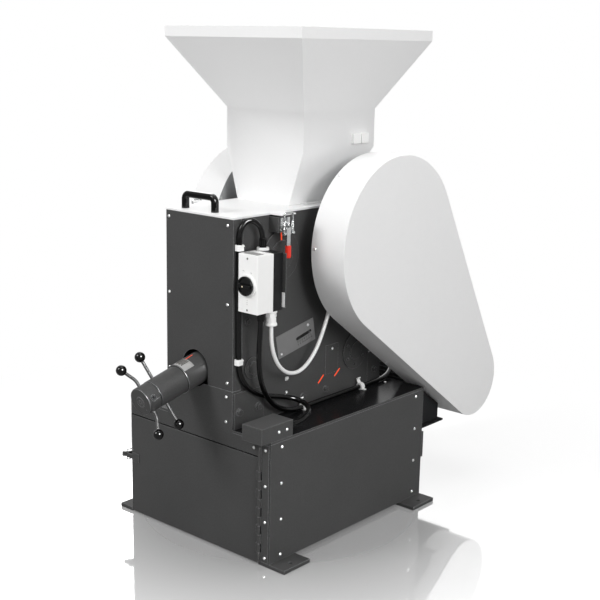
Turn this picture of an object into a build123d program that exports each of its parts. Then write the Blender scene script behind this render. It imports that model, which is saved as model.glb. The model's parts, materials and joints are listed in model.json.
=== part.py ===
"""Floor-standing laboratory jaw crusher with feed hopper, belt drive and base cabinet.

Lengths are millimetres.  The origin lies on the floor at the centre of the four foot-plate holes.
+X points to the belt-guard side, -Y to the operator (door, gap adjuster), +Z up.
Each node is one STEP file; a node may hold several separate solids of one material.
"""
import os
from math import acos, atan2, cos, degrees, pi, radians, sin, sqrt, tan

from build123d import *

# ---------------------------------------------------------------- driving dimensions
SHEET = 3.0                    # folded sheet steel of the cabinet
GAP = 0.5                      # free gap beside a part that moves
RUN = 0.05                     # radial clearance of a running fit

FOOT_SIZE_X = 112.0
FOOT_SIZE_Y = 118.0
FOOT_THICK = 12.0
FOOT_REACH = 60.0              # how far a foot plate stands out beside the cabinet
FOOT_HOLE_R = 7.0
FOOT_HOLE_IN = 25.0            # hole centre from the plate's outer edge
FOOT_HOLE_BACK = 56.0          # hole centre from the plate's front or rear edge

BASE_WIDTH = 624.0
BASE_DEPTH = 774.0
BASE_TOP = 400.0
TOP_PLATE_THICK = 8.0
POST_SIZE = 30.0

DOOR_TOP = 341.0
DOOR_LOW = 4.0
DOOR_RIGHT_IN = 48.0           # door's right edge, inside the cabinet's right side
DOOR_PAN_DEPTH = 20.0
HINGE_R = 5.0
HINGE_PIN_R = 2.0
HINGE_IN = 40.5                # hinge axis, inside the cabinet's right side
HINGE_STRIP_IN = 25.0
HINGE_LEAF_THICK = 2.0
HINGE_KNUCKLES = 13
DOOR_KNUCKLES = (1, 3, 5, 7, 9)
STRIP_GAP = 3.0                # open joint between the hinge strip and the side panel
INTERLOCK_WIDE = 80.0
INTERLOCK_INLET_IN = 21.0

DRAWER_WIDTH = 380.0
DRAWER_DEPTH = 560.0
DRAWER_HEIGHT = 230.0
DRAWER_WALL = 2.5
DRAWER_SETBACK = 40.0          # drawer front behind the cabinet front
RUNNER_HEIGHT = 20.0

TOWER_LEFT = -133.0            # outer faces of the crusher's side plates
TOWER_RIGHT = 151.0
PLATE_THICK = 26.0
PLATE_SETBACK = 42.0           # side plates' front edge behind the cabinet's front
TOWER_REAR = 272.0
TOWER_TOP = 1040.0
COVER = 2.0                    # sheet of the tower covers
COVER_SEAM = 519.5
COVER_FLANGE = 37.0
OPENING_HALF = 56.0            # half width of the arched opening round the adjuster
OPENING_RISE = 7.0             # arch centre above the adjuster's axis

SHAFT_Y = 168.0                # eccentric shaft
SHAFT_Z = 922.0
SHAFT_R = 35.0
ECCENTRIC = 3.0
JOURNAL_R = 42.0
BEARING_RING_R = 58.0
HOUSING_R = 80.0
HOUSING_DEPTH = 63.0
PIVOT_Y = -181.0               # shaft that the adjustable front jaw hangs from
PIVOT_Z = 909.0
PIVOT_R = 25.0
TOGGLE_Y = 199.0               # shaft that backs the toggle plate
TOGGLE_Z = 536.0
TOGGLE_R = 28.0

CHAMBER_LEFT = -99.0           # between the cheek plates
CHAMBER_RIGHT = 117.0
JAW_CLEAR = 1.0
JAW_PLATE = 20.0
MOUTH_Z = 1015.0
THROAT_Z = 600.0
FRONT_FACE_TOP = -72.0         # front jaw's crushing face at mouth and throat
FRONT_FACE_LOW = 34.0
REAR_FACE_TOP = 90.0
REAR_FACE_LOW = 48.0

ADJUST_X = -9.0                # adjuster axis: where it leaves the front cover, and its slope
ADJUST_Z = 558.0
ADJUST_TILT = 14.0
TRUNNION_Y = -302.0
BARREL_R = 47.5
BARREL_BORE = 24.1
SPIGOT_R = 30.0
SLEEVE_R = 44.0
SLEEVE_FROM = 72.5
SLEEVE_TO = 180.0
HUB_R = 43.0
HUB_TO = 227.0
HUB_SCREW_AT = 207.0           # counterbore of the hub's clamping screw, in its side
HUB_SCREW_R = 9.5
HUB_SCREW_DEPTH = 5.0
RATING_FROM = 28.0             # rating plate on the barrel, measured from the cover
RATING_TO = 69.0
RATING_WIDE = 46.0
SPINDLE_R = 20.0
SPINDLE_TAIL_R = 12.0
SPINDLE_HEAD_R = 24.0
SEAT_GAP = 2.0                 # between the spindle's head and its seat on the front jaw
SPINDLE_END = -368.0           # head of the spindle, measured along the axis from the cover
LEVER_ANGLE = 120.0            # of the lever arms, from +X towards up
LEVER_R = 5.0
BALL_R = 16.0
BALL_GRIP = 4.0                # how far a lever arm reaches into its ball
ARM_ROOT = 6.0                 # how far it reaches into its hub or sleeve
SOCKET_GAP = 0.1               # round a lever arm where it is screwed in
LOCK_LEVER_AT = 151.0
LOCK_BALL_REACH = 116.0
TURN_LEVER_AT = 204.0
TURN_BALL_AT = 230.0
TURN_BALL_REACH = 109.0
TURN_BEND = 19.0               # bend of a cranked arm, outside the hub

GUARD_R = 286.7                # large round end of both guards
GUARD_SMALL_R = 132.2
GUARD_SHEET = 2.0
BELT_GUARD_IN = 222.0
BELT_GUARD_OUT = 350.0
WHEEL_GUARD_IN = -202.0
WHEEL_GUARD_OUT = -321.0
MOTOR_Y = 648.0
MOTOR_Z = 380.0
WHEEL_R = 250.0
WHEEL_RIM = 42.0
WHEEL_WEB = 20.0
WHEEL_HUB_R = 65.0
WHEEL_SIDE_GAP = 14.0
PULLEY_R = 62.0
MOTOR_SHAFT_R = 14.0
BELT_COUNT = 3
BELT_PITCH = 20.0
BELT_WIDTH = 12.0
BELT_THICK = 8.0
GROOVE_DEPTH = 12.0
BELT_SUNK = 2.0

LID_TOP = 1046.5
HOPPER_SHEET = 3.0
RIM_X = (-305.0, 268.0)
RIM_Y = (-234.0, 410.0)
RIM_TOP = 1589.0
RIM_LOW = 1556.0
NECK_X = (-177.5, 151.0)
NECK_Y = (-83.0, 269.0)
NECK_TOP = 1338.5
NECK_LOW = 1216.0
THROAT_X = (-127.6, 95.0)
THROAT_Y = (-83.0, 150.0)
HANDLE_X = -22.5
HANDLE_SETBACK = 35.0
HANDLE_SPAN = 127.0
HANDLE_RISE = 54.0
HANDLE_SECTION = 20.0
LID_HINGE_Y = 284.0
LID_HINGE_R = 7.0
CLAMP_FACE = 190.0             # outer face of the block that carries the right top clamp

STARTER_X = (171.0, 249.0)
STARTER_Y = (-385.0, -317.0, -277.0)   # front, joint between cover and base, back
STARTER_Z = (772.0, 946.0)
KNOB_Z = 854.0
KNOB_R = 29.0

CONDUIT_R = 8.0
CABLE_R = 6.0
BUTTON_R = 5.0
BUTTON_HIGH = 3.0

# ---------------------------------------------------------------- derived places
FRONT = -BASE_DEPTH / 2
BACK = BASE_DEPTH / 2
SIDE = BASE_WIDTH / 2
DOOR_RIGHT = SIDE - DOOR_RIGHT_IN
HINGE_X = SIDE - HINGE_IN
HINGE_STRIP_LEFT = SIDE - HINGE_STRIP_IN
HINGE_Y = FRONT - 4.5
PLATE_FRONT = FRONT + PLATE_SETBACK
HANDLE_Y = FRONT + HANDLE_SETBACK
TILT = radians(ADJUST_TILT)
PLATE_LEFT_IN = TOWER_LEFT + PLATE_THICK
PLATE_RIGHT_IN = TOWER_RIGHT - PLATE_THICK
WHEEL_RIGHT = (BELT_GUARD_IN + WHEEL_SIDE_GAP, BELT_GUARD_OUT - WHEEL_SIDE_GAP - 4)
WHEEL_LEFT = (WHEEL_GUARD_OUT + WHEEL_SIDE_GAP + 6, WHEEL_GUARD_IN - WHEEL_SIDE_GAP)
JAW_X = (CHAMBER_LEFT + JAW_CLEAR, CHAMBER_RIGHT - JAW_CLEAR)


# ---------------------------------------------------------------- shape helpers
def block(x, y, z):
    """Box between the (low, high) pairs x, y and z, given in any order."""
    size = [abs(pair[1] - pair[0]) for pair in (x, y, z)]
    middle = [(pair[0] + pair[1]) / 2 for pair in (x, y, z)]
    return Pos(*middle) * Box(*size)


def rod_x(radius, x, y, z):
    return Pos((x[0] + x[1]) / 2, y, z) * Rot(0, 90, 0) * Cylinder(radius, abs(x[1] - x[0]))


def rod_y(radius, x, y, z):
    return Pos(x, (y[0] + y[1]) / 2, z) * Rot(90, 0, 0) * Cylinder(radius, abs(y[1] - y[0]))


def rod_z(radius, x, y, z):
    return Pos(x, y, (z[0] + z[1]) / 2) * Cylinder(radius, abs(z[1] - z[0]))


def slab_x(points, x):
    """Outline of (y, z) points, extruded from x[0] to x[1]."""
    wire = Wire.make_polygon([Vector(x[0], y, z) for y, z in points], close=True)
    return Solid.extrude(Face(wire), Vector(x[1] - x[0], 0, 0))


def slab_z(points, z):
    """Outline of (x, y) points, extruded from z[0] to z[1]."""
    wire = Wire.make_polygon([Vector(x, y, z[0]) for x, y in points], close=True)
    return Solid.extrude(Face(wire), Vector(0, 0, z[1] - z[0]))


def less(body, cutters):
    for cutter in cutters:
        body = body - cutter
    return body


def fused(pieces):
    whole = pieces[0]
    for piece in pieces[1:]:
        whole = whole + piece
    return whole


def on_axis(radius, start, end, x=0.0, up=0.0):
    """Cylinder along the adjuster's axis; start and end are distances in front of the cover."""
    return ADJUST_AXIS * Pos(x, up, (start + end) / 2) * Cylinder(radius, end - start)


def axis_point(along, x=0.0, up=0.0):
    """Point beside the adjuster's axis, in the machine's frame."""
    return (ADJUST_AXIS * Pos(x, up, along)).position


def straight(radius, start, end):
    """Round bar between two points."""
    way = end - start
    plane = Plane(origin=start, z_dir=way)
    return plane.location * Pos(0, 0, way.length / 2) * Cylinder(radius, way.length)


def bent_path(points, limit=None):
    """Straight runs joined by tangent arcs as large as the runs allow."""
    spots = [Vector(point) for point in points]
    turning = [here for before, here, after in zip(spots, spots[1:], spots[2:])
               if (here - before).get_angle(after - here) > 0.5]
    spots = [spots[0]] + turning + [spots[-1]]
    radii = []
    for before, here, after in zip(spots, spots[1:], spots[2:]):
        first = here - before
        second = after - here
        turn = radians(first.get_angle(second))
        radius = 0.45 * min(first.length, second.length) / tan(turn / 2)
        radii.append(min(radius, limit) if limit else radius)
    return FilletPolyline(*spots, radius=radii), radii


def tube(points, radius, limit=None):
    """Round tube or bar that follows the points, with its tightest bend and its length."""
    path, radii = bent_path(points, limit)
    section = Plane(origin=path @ 0, z_dir=path % 0) * Circle(radius)
    solid = sweep(section, path=path)
    return solid, min(radii), path.length


def button(x, y, z, facing):
    """Button-head screw sitting on a face; facing is the outward axis, such as '-Y'."""
    half = BUTTON_HIGH / 2
    head = Cylinder(BUTTON_R, BUTTON_HIGH)
    head = chamfer(head.faces().sort_by(Axis.Z)[-1].edges(), 1.2)
    socket = Pos(0, 0, half) * extrude(RegularPolygon(2.0, 6), -1.6)
    turn = {"-Y": Rot(90, 0, 0), "+X": Rot(0, 90, 0), "-X": Rot(0, -90, 0),
            "+Z": Rot(0, 0, 0), "+Y": Rot(-90, 0, 0)}[facing]
    return Pos(x, y, z) * turn * Pos(0, 0, half) * (head - socket)


def hexagon_x(x, y, z, across=17.0, high=8.0):
    """Hexagon bolt head with its washer, on a face that looks along +X (or -X for high < 0)."""
    sign = 1 if high > 0 else -1
    washer = rod_x(across * 0.72, (x, x + sign * 2), y, z)
    prism = extrude(RegularPolygon(across / sqrt(3), 6), abs(high))
    return washer + Pos(x + sign * 2, y, z) * Rot(0, 90 * sign, 0) * prism


ADJUST_AXIS = Plane(origin=(ADJUST_X, FRONT, ADJUST_Z), x_dir=(1, 0, 0),
                    z_dir=(0, -cos(TILT), -sin(TILT))).location


# ---------------------------------------------------------------- cabinet
def foot_plates():
    feet = []
    for side in (-1, 1):
        for end in (-1, 1):
            outer = side * (SIDE + FOOT_REACH)
            edge = end * BACK
            inner = (outer - side * FOOT_SIZE_X, edge - end * FOOT_SIZE_Y)
            plate = block((inner[0], outer), (inner[1], edge), (0, FOOT_THICK))
            if end < 0:
                behind_door = (FRONT - 1, FRONT + DOOR_PAN_DEPTH + 5)
                plate = plate - block((-SIDE, DOOR_RIGHT + 2), behind_door, (-1, FOOT_THICK + 1))
            hole_x = outer - side * FOOT_HOLE_IN
            hole_y = edge - end * FOOT_HOLE_BACK
            feet.append(plate - rod_z(FOOT_HOLE_R, hole_x, hole_y, (-1, FOOT_THICK + 1)))
    return feet


def cabinet_inner_frame():
    """Corner posts, floor plate and the two drawer runners."""
    low = FOOT_THICK
    high = BASE_TOP - TOP_PLATE_THICK
    wall = SIDE - SHEET
    pieces = [block((-wall, wall), (FRONT + DOOR_PAN_DEPTH + 5, BACK - SHEET), (low, low + SHEET))]
    floor_top = low + SHEET
    for x in ((-wall, -wall + POST_SIZE), (wall - POST_SIZE, wall)):
        pieces.append(block(x, (BACK - SHEET - POST_SIZE, BACK - SHEET), (floor_top, high)))
    front_left = (FRONT + DOOR_PAN_DEPTH + 5, FRONT + DOOR_PAN_DEPTH + 5 + POST_SIZE)
    pieces.append(block((-wall, -wall + POST_SIZE), front_left, (floor_top, high)))
    front_right = (FRONT + SHEET, FRONT + SHEET + POST_SIZE)
    foot_of_post = block((wall - POST_SIZE, wall), front_right, (low, high))
    pieces.append(foot_of_post - pieces[0])
    for side in (-1, 1):
        x = (side * DRAWER_WIDTH / 2, side * (DRAWER_WIDTH / 2 - 40))
        y = (FRONT + DRAWER_SETBACK, FRONT + DRAWER_SETBACK + DRAWER_DEPTH)
        pieces.append(block(x, y, (floor_top, floor_top + RUNNER_HEIGHT)))
    return pieces


def chute_opening(z):
    """Discharge hole between the jaws and the drawer."""
    return block((CHAMBER_LEFT + 4, CHAMBER_RIGHT - 4), (-60, 130), z)


def cabinet_top_plate():
    z = (BASE_TOP - TOP_PLATE_THICK, BASE_TOP)
    plate = block((-SIDE, SIDE), (FRONT, BACK), z)
    return [plate - chute_opening((z[0] - 1, z[1] + 1))]


def cabinet_panels():
    """Side panels, rear panel, strip above the door and strip beside its hinge."""
    high = BASE_TOP - TOP_PLATE_THICK
    wall = SIDE - SHEET
    pieces = [block((side * wall, side * SIDE), (FRONT, BACK), (FOOT_THICK, high)) for side in (-1, 1)]
    pieces.append(block((-wall, wall), (BACK - SHEET, BACK), (FOOT_THICK, high)))
    over = block((-wall, wall - STRIP_GAP), (FRONT, FRONT + SHEET), (DOOR_TOP + 5, high))
    beside = block((HINGE_STRIP_LEFT, wall - STRIP_GAP), (FRONT, FRONT + SHEET), (FOOT_THICK, DOOR_TOP + 5))
    knuckle_room = rod_z(HINGE_R + RUN, HINGE_X, HINGE_Y, (DOOR_TOP, high + 1))
    pieces.append((over + beside) - knuckle_room)
    pieces.append(block((SIDE - 60, SIDE + 3), (BACK, BACK + 6), (147, 239)))
    return pieces


def knuckle_ends():
    """Heights of the joints between the hinge knuckles, bottom to top."""
    low = FOOT_THICK + 2
    high = BASE_TOP - TOP_PLATE_THICK - 4
    step = (high - low) / HINGE_KNUCKLES
    return [low + step * number for number in range(HINGE_KNUCKLES + 1)]


def knuckle(low, high):
    z = (low + 0.3, high - 0.3)
    return rod_z(HINGE_R, HINGE_X, HINGE_Y, z)


def knuckle_bore(low, high):
    return rod_z(HINGE_PIN_R + RUN, HINGE_X, HINGE_Y, (low - 1, high + 1))


def door_hinge_frame_side():
    """Hinge leaf on the cabinet with its knuckles, and the pin.  The leaf runs on above the door."""
    ends = knuckle_ends()
    spans = [(ends[n], ends[n + 1]) for n in range(0, DOOR_KNUCKLES[-1], 2)]
    spans.append((ends[DOOR_KNUCKLES[-1] + 1], ends[-1]))
    leaf_y = (FRONT - HINGE_LEAF_THICK, FRONT)
    leaf_left = HINGE_X + HINGE_R + 3
    leaf = block((leaf_left, SIDE - SHEET - STRIP_GAP), leaf_y, (ends[0], ends[-1]))
    for low, high in spans:
        bridge = block((HINGE_X + HINGE_PIN_R + 1, leaf_left + 1), leaf_y, (low + 0.3, high - 0.3))
        leaf = leaf + ((knuckle(low, high) + bridge) - knuckle_bore(low, high))
    pin = rod_z(HINGE_PIN_R, HINGE_X, HINGE_Y, (ends[0] - 1, ends[-1] + 1))
    return [leaf, pin]


def door_panel():
    """Folded door pan, with the hinge knuckles welded to its right edge."""
    left = -SIDE + SHEET + 1
    low = DOOR_LOW
    pan = block((left, DOOR_RIGHT), (FRONT, FRONT + DOOR_PAN_DEPTH), (low, DOOR_TOP))
    inside = block((left + SHEET, DOOR_RIGHT - SHEET), (FRONT + SHEET, FRONT + DOOR_PAN_DEPTH + 1),
                   (low + SHEET, DOOR_TOP - SHEET))
    door = pan - inside
    ends = knuckle_ends()
    for number in DOOR_KNUCKLES:
        low, high = ends[number], ends[number + 1]
        tab = block((DOOR_RIGHT - 6, HINGE_X), (HINGE_Y - 1, FRONT), (low + 0.3, high - 0.3))
        door = door + ((knuckle(low, high) + tab) - knuckle_bore(low, high))
    return [door]


def latch_keeper():
    """Bracket on the door's left edge that the latch closes round."""
    face = FRONT - 3
    plate = block((-SIDE + SHEET + 1, -SIDE + 38), (face, FRONT), (178, 210))
    arm = slab_z([(-SIDE + SHEET + 8, FRONT - 3), (-SIDE - 19, FRONT - 5), (-SIDE - 19, FRONT - 2),
                  (-SIDE + SHEET + 8, FRONT)], (187, 203))
    return [plate + arm]


LATCH_X = -BASE_WIDTH / 2 - 9.0
LATCH_Y = -326.0
LATCH_Z = 195.0
LATCH_PIN_R = 2.5


def latch_base():
    """Channel bracket on the cabinet's left side, and the latch's pivot pin."""
    wall = -SIDE
    z = (LATCH_Z - 14, LATCH_Z + 14)
    bracket = block((wall - 16, wall), (LATCH_Y - 20, LATCH_Y + 14), z)
    bracket = bracket - block((wall - 17, wall - 3), (LATCH_Y - 21, LATCH_Y + 15), (z[0] + 3, z[1] - 3))
    pin = rod_z(LATCH_PIN_R, LATCH_X, LATCH_Y, (z[0] - 6, z[1] + 6))
    return [bracket - pin, pin]


def draw_latch():
    """Latch lever, and the wire bail round the keeper."""
    wall = -SIDE
    z = (LATCH_Z - 8, LATCH_Z + 8)
    lever = slab_z([(LATCH_X + 4, LATCH_Y), (wall - 5, LATCH_Y - 16), (wall - 28, FRONT - 2),
                    (wall - 40, FRONT - 8), (wall - 40, FRONT - 4), (wall - 31, FRONT + 3),
                    (LATCH_X - 4, LATCH_Y - 12), (LATCH_X - 4, LATCH_Y)], z)
    lever = lever + rod_z(5, LATCH_X, LATCH_Y, z)
    bore = rod_z(LATCH_PIN_R + RUN, LATCH_X, LATCH_Y, (z[0] - 20, z[1] + 20))
    low = LATCH_Z - 17
    high = LATCH_Z + 17
    wire = [(LATCH_X, LATCH_Y, low), (wall - 14, LATCH_Y - 24, low), (wall - 23, FRONT - 1.5, low),
            (wall - 23, FRONT - 1.5, high), (wall - 14, LATCH_Y - 24, high), (LATCH_X, LATCH_Y, high)]
    bail, _, _ = tube(wire, 1.5, limit=4.0)
    for middle in (low, high):
        bail = bail + rod_z(4.5, LATCH_X, LATCH_Y, (middle - 2, middle + 2))
    return [lever - bore, bail - bore]


def interlock_block():
    """Door switch housing that overhangs the cabinet's near corner."""
    x = (SIDE - INTERLOCK_WIDE, SIDE)
    y = (FRONT - 40, FRONT + 96)
    housing = block(x, y, (BASE_TOP, BASE_TOP + 50))
    housing = housing - block((x[0] + 3, x[1] - 3), (y[0] + 3, y[1] - 3), (BASE_TOP - 1, BASE_TOP + 47))
    inlet = rod_y(CONDUIT_R + 0.4, SIDE - INTERLOCK_INLET_IN, (y[1] - 5, y[1] + 1), 425)
    return [housing - inlet]


def drawer():
    """Open-topped collecting drawer and its bow handle."""
    x = (-DRAWER_WIDTH / 2 - 0.0, DRAWER_WIDTH / 2)
    y = (FRONT + DRAWER_SETBACK, FRONT + DRAWER_SETBACK + DRAWER_DEPTH)
    low = FOOT_THICK + SHEET + RUNNER_HEIGHT
    z = (low, low + DRAWER_HEIGHT)
    box = block(x, y, z)
    inside = block((x[0] + DRAWER_WALL, x[1] - DRAWER_WALL), (y[0] + DRAWER_WALL, y[1] - DRAWER_WALL),
                   (z[0] + DRAWER_WALL, z[1] + 1))
    grip_z = low + DRAWER_HEIGHT - 40
    bow = [(-60, y[0], grip_z), (-60, y[0] - 14, grip_z), (60, y[0] - 14, grip_z), (60, y[0], grip_z)]
    grip, _, _ = tube(bow, 4.0, limit=9.0)
    return [box - inside, grip]


# ---------------------------------------------------------------- crusher frame
def adjuster_slot(width):
    """Slot parallel to the adjuster's axis that the gap pointer moves in."""
    start = axis_point(SPINDLE_END + 12 - 8)
    end = axis_point(SPINDLE_END + 12 + 56)
    x = (PLATE_RIGHT_IN - 5, TOWER_RIGHT + 8)
    ends = [rod_x(width, x, spot.Y, spot.Z) for spot in (start, end)]
    across = Vector(0, -sin(TILT), cos(TILT)) * width
    corners = [start + across, end + across, end - across, start - across]
    return fused([slab_x([(spot.Y, spot.Z) for spot in corners], x)] + ends)


def frame_side_plates():
    plates = []
    for x in ((TOWER_LEFT, PLATE_LEFT_IN), (PLATE_RIGHT_IN, TOWER_RIGHT)):
        plate = block(x, (PLATE_FRONT, TOWER_REAR), (BASE_TOP, TOWER_TOP))
        through = (x[0] - 1, x[1] + 1)
        plate = plate - rod_x(SHAFT_R + 27 + RUN, through, SHAFT_Y, SHAFT_Z)
        plate = plate - rod_x(PIVOT_R, through, PIVOT_Y, PIVOT_Z)
        plate = plate - rod_x(TOGGLE_R, through, TOGGLE_Y, TOGGLE_Z)
        plates.append(plate)
    plates[1] = plates[1] - adjuster_slot(7.0)
    return plates


def corner_plate(face, side):
    """Bolted plate that ties a side plate to the cabinet's top, stepped over the cover's flange."""
    over_flange = block((face + side * COVER, face + side * 8), (FRONT + 4, PLATE_FRONT), (BASE_TOP, 514))
    on_plate = block((face, face + side * 8), (FRONT + COVER_FLANGE + 0.5, FRONT + 132), (BASE_TOP, 514))
    return over_flange + on_plate


def frame_cross_members():
    """Beams between the side plates, corner plates, and the brackets of the starter and top clamp."""
    inside = (PLATE_LEFT_IN, PLATE_RIGHT_IN)
    pieces = [block(inside, (PLATE_FRONT, PLATE_FRONT + 35), (665, 745)),
              block(inside, (PLATE_FRONT, PLATE_FRONT + 40), (BASE_TOP, BASE_TOP + 45)),
              block(inside, (TOWER_REAR - 42, TOWER_REAR), (BASE_TOP, BASE_TOP + 60)),
              block(inside, (TOWER_REAR - 35, TOWER_REAR), (700, 790)),
              corner_plate(TOWER_RIGHT, 1), corner_plate(TOWER_LEFT, -1)]
    for x in ((TOWER_RIGHT - 8, TOWER_RIGHT), (TOWER_LEFT, TOWER_LEFT + 8)):
        pieces.append(block(x, (TOWER_REAR + COVER, TOWER_REAR + 73), (BASE_TOP, 514)))
    z = (STARTER_Z[0] + 7, STARTER_Z[1] - 3)
    starter = block((TOWER_RIGHT, STARTER_X[1] + 12), (STARTER_Y[2], STARTER_Y[2] + 3), z)
    starter = starter + block((TOWER_RIGHT, TOWER_RIGHT + 2), (STARTER_Y[2] - 24, STARTER_Y[2]), z)
    clamps = [block((TOWER_RIGHT, CLAMP_FACE), (-235, -165), (990, 1036))]
    clamps.append(other_side(clamps[0]))
    return pieces + [starter] + clamps


def other_side(piece):
    """Copy mirrored to the left side of the frame."""
    middle = (TOWER_LEFT + TOWER_RIGHT) / 2
    return mirror(piece, Plane(origin=(middle, 0, 0), z_dir=(1, 0, 0)))


def front_covers():
    """Folded sheet in front of the frame, split at the adjuster."""
    x = (TOWER_LEFT - COVER, TOWER_RIGHT + COVER)
    arch_z = ADJUST_Z + OPENING_RISE
    hole = rod_y(OPENING_HALF, ADJUST_X, (FRONT - 1, FRONT + COVER + 1), arch_z)
    hole = hole + block((ADJUST_X - OPENING_HALF, ADJUST_X + OPENING_HALF), (FRONT - 1, FRONT + COVER + 1),
                        (COVER_SEAM - 1, arch_z))
    low_hole = rod_y(BARREL_R + 6, ADJUST_X, (FRONT - 1, FRONT + COVER + 1), ADJUST_Z)
    covers = []
    for z, opening in (((COVER_SEAM + 0.25, TOWER_TOP), hole), ((BASE_TOP, COVER_SEAM - 0.25), low_hole)):
        cover = block(x, (FRONT, FRONT + COVER_FLANGE), z)
        inside_y = (FRONT + COVER, FRONT + COVER_FLANGE + 1)
        hollow = block((TOWER_LEFT, TOWER_RIGHT), inside_y, (z[0] - 1, z[1] + 1))
        covers.append(cover - hollow - opening)
    spacer_y = (FRONT + COVER, PLATE_FRONT)
    for side_x in ((TOWER_LEFT, TOWER_LEFT + 8), (TOWER_RIGHT - 8, TOWER_RIGHT)):
        covers.append(block(side_x, spacer_y, (COVER_SEAM + 20, TOWER_TOP - 20)))
        covers.append(block(side_x, spacer_y, (BASE_TOP, COVER_SEAM - 20)))
    return covers


def rear_cover():
    return [block((TOWER_LEFT - COVER, TOWER_RIGHT + COVER), (TOWER_REAR, TOWER_REAR + COVER),
                  (BASE_TOP, TOWER_TOP))]


def cheek_plates():
    """Wear plates on the inner faces of the frame."""
    outline = [(FRONT_FACE_LOW - 50, THROAT_Z), (REAR_FACE_LOW + 40, THROAT_Z), (REAR_FACE_TOP + 20, MOUTH_Z),
               (FRONT_FACE_TOP - 30, MOUTH_Z)]
    return [slab_x(outline, (PLATE_LEFT_IN, CHAMBER_LEFT)), slab_x(outline, (CHAMBER_RIGHT, PLATE_RIGHT_IN))]


def round_cover(face, side, y, z, radius, ring):
    """Turned cover on a side plate, with a raised middle."""
    disc = rod_x(radius, (face, face + side * 5), y, z)
    return disc + rod_x(ring, (face + side * 5, face + side * 9), y, z)


def bearing_housing(face, side):
    """Bored housing bolted outside a side plate."""
    far = face + side * HOUSING_DEPTH
    body = rod_x(HOUSING_R, (face, far), SHAFT_Y, SHAFT_Z)
    body = body - rod_x(SHAFT_R + 27 + RUN, (face - side, far - side * 10), SHAFT_Y, SHAFT_Z)
    return body - rod_x(SHAFT_R + 2, (face - side, far + side), SHAFT_Y, SHAFT_Z)


def housings_and_covers():
    """Bearing housings, turned covers and painted hexagon bolts on both side plates."""
    pieces = []
    trunnion = trunnion_spot()
    for face, side in ((TOWER_RIGHT, 1), (TOWER_LEFT, -1)):
        pieces.append(bearing_housing(face, side))
        pieces.append(round_cover(face, side, PIVOT_Y, PIVOT_Z, 80, 48))
        pieces.append(round_cover(face, side, TOGGLE_Y, TOGGLE_Z, 63, 30))
        pieces.append(round_cover(face, side, trunnion.Y, trunnion.Z, 34, 20))
        for y, z in ((FRONT + 21, 453), (FRONT + 105, 453)):
            pieces.append(hexagon_x(face + side * 8, y, z, 19, side * 8))
        for y, z in ((PLATE_FRONT + 20, 727), (-64, 433), (50, 433), (TOWER_REAR + 36, 448)):
            pieces.append(hexagon_x(face, y, z, 17, side * 8))
        for number in range(6):
            angle = radians(30 + 60 * number)
            y = TOGGLE_Y + 46 * cos(angle)
            z = TOGGLE_Z + 46 * sin(angle)
            pieces.append(rod_x(5, (face + side * 5, face + side * 9), y, z))
    return pieces


def trunnion_spot():
    """Where the adjuster's axis crosses its trunnion."""
    return axis_point((FRONT - TRUNNION_Y) / cos(TILT))


def frame_shafts_and_bearings():
    """Front jaw pivot shaft, toggle shaft and the two main roller bearings."""
    through = (TOWER_LEFT, TOWER_RIGHT)
    pieces = [rod_x(PIVOT_R, through, PIVOT_Y, PIVOT_Z), rod_x(TOGGLE_R, through, TOGGLE_Y, TOGGLE_Z)]
    for face, side in ((TOWER_RIGHT, 1), (TOWER_LEFT, -1)):
        x = (face + side * 6, face + side * 52)
        ring = rod_x(SHAFT_R + 27, x, SHAFT_Y, SHAFT_Z) - rod_x(SHAFT_R + RUN, x, SHAFT_Y, SHAFT_Z)
        pieces.append(ring)
    return pieces


# ---------------------------------------------------------------- jaws
def front_jaw_arm():
    seat = axis_point(SPINDLE_END - SEAT_GAP)
    up = Vector(0, -sin(TILT), cos(TILT))
    seat_high = seat + up * 34
    seat_low = seat - up * 32
    back_top = FRONT_FACE_TOP - JAW_PLATE
    back_low = FRONT_FACE_LOW - JAW_PLATE
    outline = [(back_top, MOUTH_Z - 4), (back_low, THROAT_Z), (back_low - 12, THROAT_Z - 4),
               (seat_low.Y, seat_low.Z), (seat_high.Y, seat_high.Z), (-72, 730), (-150, 800), (-225, 885),
               (-225, 930), (-170, 955), (-120, 1000)]
    arm = slab_x(outline, JAW_X) + rod_x(52, JAW_X, PIVOT_Y, PIVOT_Z)
    return [arm - rod_x(PIVOT_R + RUN, (JAW_X[0] - 1, JAW_X[1] + 1), PIVOT_Y, PIVOT_Z)]


def jaw_teeth(top, low, side):
    """Shallow vertical ribs on a crushing face; side is +1 for a face that looks to the rear."""
    ribs = []
    count = 9
    pitch = (JAW_X[1] - JAW_X[0]) / count
    high = 3.0
    for number in range(count):
        x = JAW_X[0] + pitch * (number + 0.25)
        outline = [(top, MOUTH_Z - 6), (top + side * high, MOUTH_Z - 12), (low + side * high, THROAT_Z + 6),
                   (low, THROAT_Z)]
        ribs.append(slab_x(outline, (x, x + pitch / 2)))
    return ribs


def jaw_plate(top, low, side):
    outline = [(top, MOUTH_Z), (low, THROAT_Z), (low - side * JAW_PLATE, THROAT_Z),
               (top - side * JAW_PLATE, MOUTH_Z)]
    return [fused([slab_x(outline, JAW_X)] + jaw_teeth(top, low, side))]


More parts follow.
